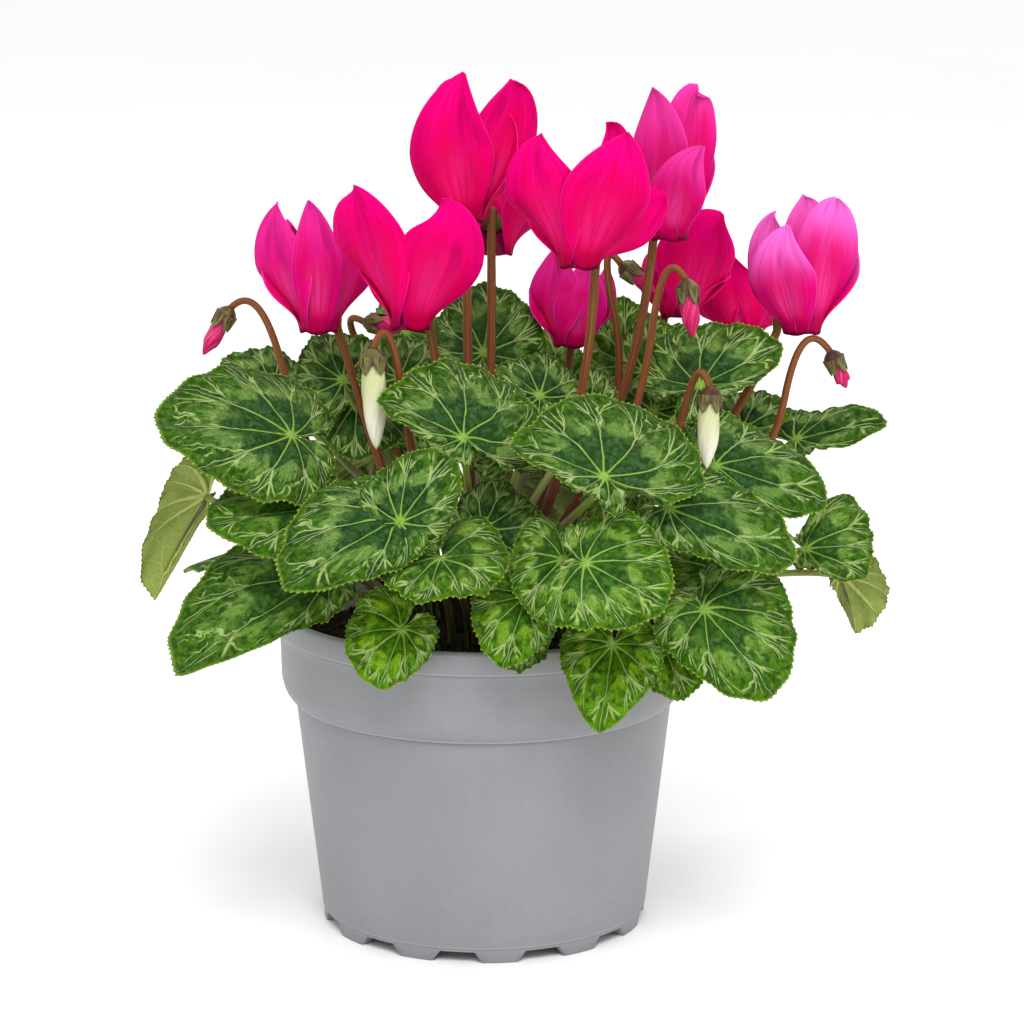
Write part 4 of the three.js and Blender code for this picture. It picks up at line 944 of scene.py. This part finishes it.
# Blooms: the colour and how far it goes to lilac, the place of the mouth, the side
# that the stem hooks from, its foot on the crown, the way that it arrives, and the
# petals. A petal has the direction that it leaves the mouth in, half its width, how
# far its face twists, the across and up places of its middle, and its tip.
BLOOMS = {
    1: ("magenta", 0.12, [-47, -5, 177], 50, [-8, 2], [-0.3, 0, 0.95], [
        [-165, 10, 55, [-11, 19], [-11, -3, 36]], [-90, 7.5, 5, [0, 21], [-2, -7, 37]],
        [-12, 8, -55, [9, 17], [13, -2, 26]], [108, 8, -10, [-3, 16], [-3, 9, 28]],
        [165, 9, -50, [-9, 16], [-8, 6, 29]]]),
    2: ("red", 0, [-20, -30, 182], 50, [-5, -5], [-0.19, 0, 0.98], [
        [-165, 11.5, 62, [-12, 26], [-15, -9, 39]], [-62, 12.8, -20, [10, 22], [9, -13, 36]],
        [-10, 9, 40, [12, 15], [13, 4, 24]], [112, 9, -20, [-4, 13], [-4, 11, 22]],
        [165, 8, -50, [-9, 20], [-11, 7, 30]]]),
    3: ("red", 0, [-5, -8, 209], 88, [-2, 1], [0, 0, 1], [
        [-95, 13.3, 5, [-4, 21], [0, -6, 41]], [-18, 10.6, -50, [12, 23], [14, 3, 38]],
        [20, 8, 30, [11, 18], [12, 6, 30]], [145, 7.5, -40, [-7, 17], [-7, 9, 32]],
        [-170, 9, 50, [-6, 25], [-3, 6, 37]]]),
    4: ("red", 0, [3, 24, 195], -95, [1, 7], [0, 0, 1], [
        [-14, 9, -30, [12, 13], [19, -3, 22]], [-166, 8, 20, [-8, 13], [-9, 0, 25]],
        [50, 9, 20, [8, 13], [9, 10, 25]], [96, 9, -10, [2, 13], [2, 12, 28]],
        [168, 9, -45, [-7, 13], [-7, 6, 25]]]),
    5: ("red", 0, [27, -35, 200], 55, [4, -4], [0.04, 0, 1], [
        [-158, 12, 58, [-11, 21], [-11, -7, 36]], [-62, 13.3, -20, [8, 21], [12, -13, 37]],
        [-10, 8, -50, [16, 12], [24, 2, 18]], [-14, 7, -40, [10, 24], [8, 5, 38]],
        [125, 9, -45, [-7, 16], [-6, 8, 27]]]),
    6: ("magenta", 0.25, [53, 0, 203], 120, [8, 2], [0.09, 0, 1], [
        [-150, 9.5, 50, [-3, 24], [-5, -4, 42]], [-70, 8, -15, [3, 15], [9, -9, 26]],
        [-25, 8.5, -50, [6, 30], [8, -2, 41]], [45, 9, 30, [6, 20], [4, 8, 31]],
        [-172, 7, 45, [-7, 8], [-10, 4, 13]]]),
    7: ("magenta", 0.12, [26, 30, 167], 90, [4, 13], [0.1, 0.1, 1], [
        [-155, 9, 55, [-5, 15], [-5, -3, 28]], [-80, 8, -5, [3, 13], [4, -5, 24]],
        [-5, 4.5, -50, [9, 12], [10, 0, 21]], [20, 6, 30, [9, 9], [9, 4, 18]],
        [165, 7, -30, [-8, 11], [-7, 4, 22]]]),
    8: ("red", 0, [58, 34, 175], 120, [9, 12], [0.2, 0.1, 1], [
        [-50, 13, -25, [6, 19], [12, -6, 30]], [-150, 7.5, 40, [-6, 8], [-7, -2, 13]],
        [15, 8, 40, [10, 10], [14, 7, 17]], [44, 8, 20, [9, 12], [9, 7, 22]],
        [-176, 7, 50, [-8, 10], [-7, 4, 17]]]),
    9: ("red", 0, [79, 56, 166], 90, [13, 15], [0.35, -0.2, 0.95], [
        [-100, 11.5, 10, [-4, 12], [-4, -5, 23]], [-40, 10, -30, [8, 9], [9, -4, 19]],
        [22, 7, 40, [8, 9], [8, 5, 19]], [164, 7, -30, [-8, 10], [-8, 4, 20]],
        [-170, 9, 50, [-9, 8], [-10, 0, 17]]]),
    10: ("magenta", 1.0, [92, 5, 175], 150, [14, 2], [0.39, 0, 0.92], [
        [-118, 10.5, 22, [-7, 17], [-5, -9, 31]], [-150, 9, 40, [-9, 19], [-8, 2, 33]],
        [-35, 10, -45, [7, 25], [9, -4, 38]], [35, 9, 35, [10, 17], [12, 8, 29]],
        [84, 8.5, 5, [2, 24], [1, 9, 37]]]),
}

PETAL_SLOTS = {"red": "petal_red_pink", "magenta": "petal_magenta", "white": "petal_white"}

# Radius and height from a bloom's mouth.
THROAT = [[0, 4.4], [2.6, 3.4], [3.4, 2.0], [3.6, 0.6], [3.7, -0.8], [4.1, -1.4], [4.6, -1.2],
          [4.8, -0.4], [4.8, 0.9], [4.6, 2.9], [4.0, 4.8], [2.4, 5.9], [0, 6.3]]
HOOK = [[7.9, -2], [7.9, 3.4], [6.5, 8.8], [3.4, 11.8], [0.5, 10.2]]
CALYX = [[0, 6.9], [2.2, 6.2], [3.5, 5.7], [4.0, 5.9], [3.9, 6.5], [3.0, 7.9], [1.9, 9.4], [1.3, 10.1],
         [0, 10.5]]


def petal_width(t, half, growth):
    """Half the width at a share of the way from the mouth: a neck, a belly, a point."""
    rise = np.sin(math.pi / 2 * np.clip(t / PETAL_BELLY, 0, 1))
    low = mix(min(NECK, half), half, rise ** growth)
    past = np.clip((t - PETAL_BELLY) / (1 - PETAL_BELLY), 0, 1)
    return np.where(t < PETAL_BELLY, low, half * np.maximum(PETAL_END, (1 - past ** 1.45) ** 0.82))


def petal_points(petal, stem, t, s, seed):
    """A petal's points from mouth to tip and edge to edge, about the mouth."""
    turn, half, twist, middle, tip = petal
    side = np.array([math.cos(turn * RAD), math.sin(turn * RAD), 0])
    p0 = side * (MOUTH_RADIUS + 0.05) - [0, 0, PETAL_SINK]
    p1 = side * (MOUTH_RADIUS + 1.2) + [0, 0, tip[2] * 0.22]
    p3 = np.array(tip, float)
    m = PETAL_MIDDLE
    through = np.array([middle[0], tip[1], middle[1]], float)
    p2 = through - (1 - m) ** 3 * p0 - 3 * m * (1 - m) ** 2 * p1 - m ** 3 * p3
    p2 = p2 / (3 * (1 - m) * m * m)
    line = bezier(p0, p1, p2, p3, t)
    along = unit(bezier(p0, p1, p2, p3, np.minimum(1, t + 0.01))
                 - bezier(p0, p1, p2, p3, np.maximum(0, t - 0.01)))
    facing = (turn + twist * smooth(t / 0.6)) * RAD
    across = unit(np.cross(along, polar(1, facing, 0)))
    out = np.cross(across, along)
    # beside the stem the neck stays slim for longer
    apart = abs((turn - stem + 180) % 360 - 180)
    growth = mix(1.5 + abs(twist) / 40, 1.3, smooth((apart - 50) / 40))
    wrap = mix(MOUTH_RADIUS + 0.2, PETAL_WRAP + 6 * t, smooth(t / 0.35))
    bend = petal_width(t, half, growth) * s / wrap
    crease = -np.exp(-(s / 0.2) ** 2) * np.sin(math.pi * t) ** 0.7
    sag = np.array([0, 0, -PETAL_SINK]) * ((1 - s * s) * smooth(1 - t / 0.12))[..., None]
    ruffle = 0.5 * np.abs(s) ** 3 * np.sin(8 * t + 9 * seed + 2 * np.sign(s)) * smooth(t / 0.4)
    lift = wrap * (np.cos(bend) - 1) * 0.8 + PETAL_TURN * s * smooth(t / 0.5) + crease + ruffle
    return line + sag + (wrap * np.sin(bend))[..., None] * across + lift[..., None] * out


def lathe(profile, sides, lobes=0.0):
    """Rings from a list of radius and height, with five soft lobes if asked, the share
    along the profile and the share of the way round."""
    profile = np.asarray(profile, float)
    turn = circle(sides)
    rows = polar(profile[:, :1] * (1 + lobes * np.cos(5 * turn)), turn, profile[:, 1:])
    return rows, np.linspace(0, 1, len(profile))[:, None], turn / TURN


def make_bloom(number, colour, lilac, mouth, stem, petals):
    shape = Shape()
    rows, along, around = lathe(smooth_path(THROAT, 3), THROAT_SIDES, 0.035)
    shape.turned(rows + mouth, vectors(around, along, number), slot=1)
    t, s = np.meshgrid(np.linspace(0, 1, PETAL_ROWS), np.linspace(-1, 1, PETAL_COLUMNS), indexing="ij")
    thickness = PETAL * (1 - 0.35 * np.abs(s) ** 3)
    for k, petal in enumerate(petals):
        seed = number * 0.37 + k * 0.19
        points = petal_points(petal, stem, t, s, seed) + mouth
        shape.sheet(points, thickness, vectors(t, s, seed), (lilac, 0, 0))
    slot = PETAL_SLOTS[colour]
    shape.build(f"flower_{number}", [f"bloom_{number}"], [SKINS[slot], SKINS["throat"]])


def stem_rise(foot, top, arrive, steps):
    start = np.array([*foot, CROWN_Z])
    across = top - start
    p2 = top - unit(arrive) * 0.42 * across[2]
    return rise_path(foot, start + across * [0.58, 0.35, 0.36], p2, top, steps)


def add_calyx(shape, profile, lobes, axes, origin, reach, number):
    rows, along, around = lathe(profile, CALYX_SIDES, lobes)
    shape.turned(rows @ axes + origin, vectors(along * reach, around * 0.2, number), slot=1)


def make_bloom_stem(number, mouth, side, foot, arrive):
    shape = Shape()
    radius, z = np.transpose(HOOK)
    hook = polar(radius, side * RAD, z) + mouth
    rise = stem_rise(foot, hook[0], arrive, STEM_STEPS)
    path = np.concatenate([rise[:-1], smooth_path(np.concatenate([rise[-2:-1], hook]), 6)[6:]])
    radii = np.linspace(STEM_RADIUS, STEM_TIP_RADIUS, len(path))
    radii = radii * (1 + 0.03 * np.sin(np.arange(len(path)) * 1.7 + number))
    shape.bar(path, radii, STEM_SIDES, (STEM_TONE, number * 0.61, 0))
    add_calyx(shape, smooth_path(CALYX, 3), 0.05, np.eye(3), mouth, 1, number)
    shape.build(f"stalk_{number}", [f"bloom_stem_{number}"],
                [SKINS["stem"], SKINS["calyx"]])


# Buds: the colour, the foot on the crown, the stem's shoulder and the corner of its
# hook, the calyx, the tip, and the radius of the petals and of the calyx.
BUDS = {
    1: ("red", [-20, 1], [-58, -8, 168], [-64, -8, 191], [-72, -8, 182.5], [-80, -8, 169], 2.4, 3.0),
    2: ("white", [-10, -8], [-23, -42, 170], [-26, -44, 189], [-30, -46, 177], [-29, -50, 150], 3.4, 3.7),
    3: ("magenta", [6, 7], [38, 13, 178], [33, 13, 202], [40, 13, 192], [50, 13, 184], 2.3, 3.0),
    4: ("magenta", [10, -6], [48, -20, 180], [51, -22, 204], [57, -24, 193], [59, -26, 177], 2.6, 3.2),
    5: ("white", [15, -10], [57, -38, 162], [60, -42, 176], [63, -44, 166], [62, -48, 144], 3.0, 3.5),
    6: ("red", [20, 4], [86.5, -6, 156], [91, -6, 182], [99.5, -6, 169.5], [104.3, -6, 159], 2.2, 3.0),
    7: ("magenta", [-7, 12], [-36, 26, 164], [-43, 24, 178], [-35, 20, 174], [-23, 16, 173], 2.6, 2.8),
}


def bud_frame(calyx, tip):
    """A bud's axes and its length."""
    z = unit(calyx - tip)
    x = unit(np.array([0, 1.0, 0]) - z * z[1])
    return np.array([x, np.cross(z, x), z]), np.linalg.norm(calyx - tip)


def make_bud(number, colour, calyx, tip, girth):
    shape = Shape()
    axes, end = bud_frame(calyx, tip)
    profile = smooth_path([[0, -end], [girth * 0.30, -end * 0.94], [girth * 0.62, -end * 0.82],
                           [girth * 0.92, -mix(CUP, end, 0.5)], [girth, -mix(CUP, end, 0.22)],
                           [girth * 0.9, -CUP * 0.8], [girth * 0.7, -CUP * 0.5], [0, -CUP * 0.3]], 5)
    along = np.clip(-profile[:, 1:] / end, 0, 1)
    turn = circle(BUD_SIDES)
    twist = turn + BUD_TWIST * along
    fold = twist * BUD_FOLDS / TURN % 1
    rows = polar(profile[:, :1] * (1 + BUD_FOLD * (fold - 0.5)), turn, profile[:, 1:])
    shape.turned(rows @ axes + calyx, vectors(along, twist / TURN, number * 1.3))
    skin = "bud_white" if colour == "white" else "bud_pink"
    shape.build(f"closed_flower_{number}", [f"bud_{number}"], [SKINS[skin]])


def make_bud_stem(number, foot, shoulder, corner, calyx, tip, girth, cup):
    shape = Shape()
    rise = stem_rise(foot, shoulder, corner - shoulder, BUD_STEM_STEPS)
    t = np.linspace(0, 1, BUD_HOOK_STEPS)[1:, None]
    hook = (1 - t) ** 2 * shoulder + 2 * t * (1 - t) * corner + t * t * calyx
    path = np.concatenate([rise, hook])
    radii = np.linspace(BUD_STEM_RADIUS * 1.1, BUD_STEM_RADIUS * 0.85, len(path))
    shape.bar(path, radii, BUD_STEM_SIDES, (BUD_STEM_TONE, number * 0.43, 0))

    axes = bud_frame(calyx, tip)[0]
    inner = girth + 0.2
    profile = smooth_path([[0, -CUP * 0.2], [inner * 0.8, -CUP * 0.32], [inner * 0.95, -CUP * 0.5],
                           [inner + 0.25, -CUP * 0.56], [cup, -CUP * 0.42], [cup * 0.85, -CUP * 0.18],
                           [cup * 0.5, 0], [0, 0.9]], 4)
    add_calyx(shape, profile, 0.06, axes, calyx, 0.3, number)
    t, s = np.meshgrid(np.linspace(0, 1, SEPAL_ROWS), np.linspace(-1, 1, SEPAL_COLUMNS), indexing="ij")
    width = SEPAL_HALF_DEG * RAD * np.maximum(0.04, 1 - t ** 2.2)
    radius = mix(cup * 0.93, girth + 0.45, smooth(t / 0.55)) + 0.35 * (1 - s * s) * (1 - t)
    radius = radius * np.where(t > 0.8, 1 - (t - 0.8) * 0.25, 1)
    for k in range(SEPAL_COUNT):
        points = polar(radius, TURN * k / SEPAL_COUNT + width * s, -CUP * 0.25 - t * (CUP * 0.72))
        place = vectors(t, s, number + k * 0.31)
        shape.sheet(points @ axes + calyx, SEPAL * (1 - 0.5 * t), place, slot=1)
    shape.build(f"bud_stalk_{number}", [f"bud_stem_{number}"],
                [SKINS["stem"], SKINS["calyx"]])


# Pot. The outside of the wall from the collar up, over the rim and down inside: a
# radius and a height, and the steps from there to the corners near it.
POT_CORNERS = [
    (WALL_TOP_RADIUS, COLLAR_BOTTOM_Z, [(-0.1, -0.3), (0.1, -0.1), (0.9, -0.05), (1.2, 0.1), (1.35, 0.5),
                                        (2.0, 1.1), (2.9, 2.4)]),
    (COLLAR_FULL_RADIUS, COLLAR_FULL_Z, [(-0.7, -3), (0, 0)]),
    (RIM_RADIUS - LIP_STEP, LIP_Z, [(-0.75, -3), (-0.5, -0.2), (-0.4, -0.05)]),
    (RIM_RADIUS, LIP_Z, [(-0.3, 0), (-0.15, 0.3)]),
    (RIM_RADIUS, RIM_Z, [(-0.15, -3), (0, -1.0), (-0.2, -0.4), (-0.75, 0)]),
    (RIM_RADIUS - RIM_WALL, RIM_Z, [(0.5, 0), (0, -0.4)]),
    (COLLAR_INNER_RADIUS, COLLAR_FULL_Z, [(0.2, 2), (0, 0)]),
    (WALL_TOP_RADIUS - WALL, COLLAR_BOTTOM_Z, [(0, 0)]),
    (FLOOR_INNER_RADIUS, FLOOR_Z + FLOOR, [(0, 0)]),
]


def foot_height(turn):
    """How high the foot ring's lower edge is at a turn: 0 on a foot."""
    spacing = 360 / FOOT_COUNT
    away = np.abs((np.degrees(turn) - FOOT_TURN + spacing / 2) % spacing - spacing / 2)
    share = (away - (FOOT_HALF_DEG - FOOT_SLANT_DEG)) / (2 * FOOT_SLANT_DEG)
    return FLOOR_Z * np.clip(share, 0, 1)


def make_pot():
    shape = Shape()
    turn = circle(POT_SIDES)
    low = foot_height(turn)
    rings = [(FOOT_INNER_RADIUS, FLOOR_Z), (FOOT_INNER_RADIUS, low), (FOOT_INNER_RADIUS + 0.3, low),
             (WALL_FOOT_RADIUS - 0.3, low), (WALL_FOOT_RADIUS, low + FOOT_BEVEL * (low < 0.1)),
             (WALL_FOOT_RADIUS, FLOOR_Z)]
    for share in np.linspace(0, 1, WALL_RINGS):
        rings.append((mix(WALL_FOOT_RADIUS + 0.4, WALL_TOP_RADIUS, share),
                      mix(FLOOR_Z + 1, COLLAR_BOTTOM_Z - 0.9, share)))
    for radius, z, steps in POT_CORNERS:
        rings += [(radius + out, z + up) for out, up in steps]
    rows = np.array([polar(radius, turn, z) for radius, z in rings])
    shape.add(rows, [grid_faces(len(rows), POT_SIDES, True)])
    add_floor(shape, 0, (len(rows) - 1) * POT_SIDES)
    shape.build("nursery_pot", ["pot"], [SKINS["pot"]])


def add_floor(shape, under_start, upper_start):
    """The pot's floor with its drain holes, joined to the rings already there."""
    centres = polar(DRAIN_CIRCLE, circle(DRAIN_COUNT), 0)[:, :2]
    holes = [centre + polar(DRAIN_RADIUS, circle(DRAIN_SIDES), 0)[:, :2] for centre in centres]
    pad = polar(CENTRE_FOOT_RADIUS, circle(CENTRE_FOOT_SIDES), 0)[:, :2]
    hole_starts = []
    for start, radius, z, down in ((under_start, FOOT_INNER_RADIUS, FLOOR_Z, True),
                                   (upper_start, FLOOR_INNER_RADIUS, FLOOR_Z + FLOOR, False)):
        loops = [polar(radius, circle(POT_SIDES), 0)[:, :2], *holes] + [pad] * down
        edges = []
        first = 0
        for loop in loops:
            edges += [(first + i, first + (i + 1) % len(loop)) for i in range(len(loop))]
            first += len(loop)
        flat = [Vector(point) for point in np.concatenate(loops)]
        points, _, faces, _, _, _ = delaunay_2d_cdt(flat, edges, [], 1, WELD)
        kept = []
        for face in faces:
            c = sum((points[i] for i in face), Vector((0, 0))) / len(face)
            in_hole = any(math.hypot(c.x - x, c.y - y) < DRAIN_RADIUS * IN_HOLE for x, y in centres)
            in_pad = down and c.length < CENTRE_FOOT_RADIUS * IN_HOLE
            if not in_hole and not in_pad and c.length < radius:
                kept.append(face[::-1] if down else face)
        first = shape.count
        shape.add([(p.x, p.y, z) for p in points[POT_SIDES:]])
        move = np.concatenate([start + np.arange(POT_SIDES), np.arange(first, shape.count)])
        shape.join(move[np.array(kept)])
        hole_starts.append(first)
    pad_ring = hole_starts[0] + DRAIN_COUNT * DRAIN_SIDES + np.arange(CENTRE_FOOT_SIDES)
    bevel = shape.count + np.arange(CENTRE_FOOT_SIDES)
    base = bevel + CENTRE_FOOT_SIDES
    shape.add([(x, y, FOOT_BEVEL) for x, y in pad] + [(x * 0.97, y * 0.97, 0) for x, y in pad] + [ZERO])
    shape.band(pad_ring, bevel)
    shape.band(bevel, base)
    shape.join(fan_faces(base[-1] + 1, np.append(base, base[0])[::-1]))
    for hole in range(DRAIN_COUNT):
        under, upper = (start + hole * DRAIN_SIDES + np.arange(DRAIN_SIDES) for start in hole_starts)
        shape.band(under, upper)


# Soil
def bumps(x, y, waves, size):
    """Smooth lumps: waves in random directions, the finer the lower."""
    total = np.zeros(np.shape(x))
    for _ in range(waves):
        way = random.random() * TURN
        pitch = size * (0.35 + random.random())
        total = total + pitch * np.sin((x * math.cos(way) + y * math.sin(way)) * TURN / pitch
                                       + random.random() * 7)
    return total / waves


def make_soil():
    shape = Shape()
    edge = COLLAR_INNER_RADIUS - SOIL_GAP - 0.5
    turn = circle(SOIL_SIDES)
    radius = np.linspace(edge, SOIL_MIDDLE_RADIUS, SOIL_RINGS)[:, None]
    x = radius * np.cos(turn)
    y = radius * np.sin(turn)
    z = SOIL_Z + SOIL_CROWN * smooth((edge - radius) / edge) + 0.9 * bumps(x, y, 14, 5) / 2
    z = z + 0.5 * bumps(x, y, 12, 2) - 1.2 * smooth(1 - (edge - radius) / 4)
    top = vectors(x, y, z)
    wall_top = WALL_TOP_RADIUS - WALL - SOIL_GAP
    bottom = FLOOR_Z + FLOOR + SOIL_GAP
    side = [[0, bottom], [20, bottom], [FLOOR_INNER_RADIUS - SOIL_GAP, bottom],
            [wall_top, COLLAR_BOTTOM_Z], [mix(wall_top, edge, 0.6), COLLAR_BOTTOM_Z + 7],
            [edge, SOIL_Z - 2.5]]
    centre = polar(0, turn, SOIL_Z + SOIL_CROWN)[None]
    rows = np.concatenate([lathe(side, SOIL_SIDES)[0], top, centre])
    shape.turned(rows, np.zeros(rows.shape))
    for _ in range(CRUMB_COUNT):
        far = edge * 0.96 * math.sqrt(random.random())
        way = random.random() * TURN
        size = 0.5 + 1.3 * random.random() ** 2
        i = int(np.argmin(np.abs(radius - far)))
        j = int(way / TURN * SOIL_SIDES) % SOIL_SIDES
        add_crumb(shape, top[i, j] + [0, 0, size * 0.3], size)
    shape.build("potting_soil", ["soil"], [SKINS["soil"]])


def add_crumb(shape, middle, size):
    up = np.linspace(-math.pi / 2, math.pi / 2, CRUMB_ROWS)[:, None]
    lump = size * (0.7 + 0.6 * random.random((CRUMB_ROWS, CRUMB_SIDES)))
    lump[0] = lump[0, 0]
    lump[-1] = lump[-1, 0]
    points = polar(lump * np.cos(up), circle(CRUMB_SIDES), lump * np.sin(up) * 0.75)
    shape.turned(points + middle, np.zeros(points.shape))


make_pot()
make_soil()
for name, (foot, tone, leaves) in LEAF_GROUPS.items():
    shape = Shape()
    for leaf in leaves:
        seed = random.random()
        add_blade(shape, leaf, tone, seed)
        add_petiole(shape, leaf, foot, seed)
    shape.build(f"foliage_{name}", [name],
                [SKINS["leaf"], SKINS["leaf_back"], SKINS["petiole"]])
for number, (colour, lilac, mouth, side, foot, arrive, petals) in BLOOMS.items():
    mouth = np.array(mouth, float)
    make_bloom(number, colour, lilac, mouth, side, petals)
    make_bloom_stem(number, mouth, side, foot, arrive)
for number, (colour, foot, *places, girth, cup) in BUDS.items():
    shoulder, corner, calyx, tip = np.array(places, float)
    make_bud(number, colour, calyx, tip, girth)
    make_bud_stem(number, foot, shoulder, corner, calyx, tip, girth, cup)

# Floor, light and camera
FLOOR_HALF = 12.0
STUDIO_WHITE = (1, 1, 1, 1)
AIM = Vector((0, 0, 0.13))
CAMERA = (8.29, -1000, 342.7)
CAMERA_DOWN_DEG = 12.48
CAMERA_LENS = 123.8


def show(name, data, place=ZERO):
    thing = bpy.data.objects.new(name, data)
    thing.location = place
    bpy.context.scene.collection.objects.link(thing)
    return thing


def area_light(name, place, size, watts):
    data = bpy.data.lights.new(name, "AREA")
    data.size = size
    data.energy = watts
    light = show(name, data, place)
    light.rotation_euler = (AIM - Vector(place)).to_track_quat("-Z", "Y").to_euler()


floor_mesh = bpy.data.meshes.new("floor")
floor_mesh.from_pydata([(-FLOOR_HALF, -FLOOR_HALF, 0), (FLOOR_HALF, -FLOOR_HALF, 0),
                        (FLOOR_HALF, FLOOR_HALF, 0), (-FLOOR_HALF, FLOOR_HALF, 0)], [], [(0, 1, 2, 3)])
floor_mesh.materials.append(floor_paint())
floor = show("floor", floor_mesh)

area_light("key", (0.1, -1.3, 1.6), 0.8, 22)
area_light("fill", (1.3, -0.6, 0.9), 1.2, 2)
area_light("back", (0.3, 1.3, 1.2), 1.2, 4)

world = bpy.data.worlds.new("studio")
world.use_nodes = True
world.node_tree.nodes["Background"].inputs["Color"].default_value = STUDIO_WHITE
world.node_tree.nodes["Background"].inputs["Strength"].default_value = 1.0
bpy.context.scene.world = world
bpy.context.scene.view_settings.view_transform = "Standard"

camera_data = bpy.data.cameras.new("camera")
camera_data.lens = CAMERA_LENS
camera_data.sensor_width = 36
camera_data.clip_end = 60
camera = show("camera", camera_data, [value * MM for value in CAMERA])
camera.rotation_euler = ((90 - CAMERA_DOWN_DEG) * RAD, 0, 0)
bpy.context.scene.camera = camera
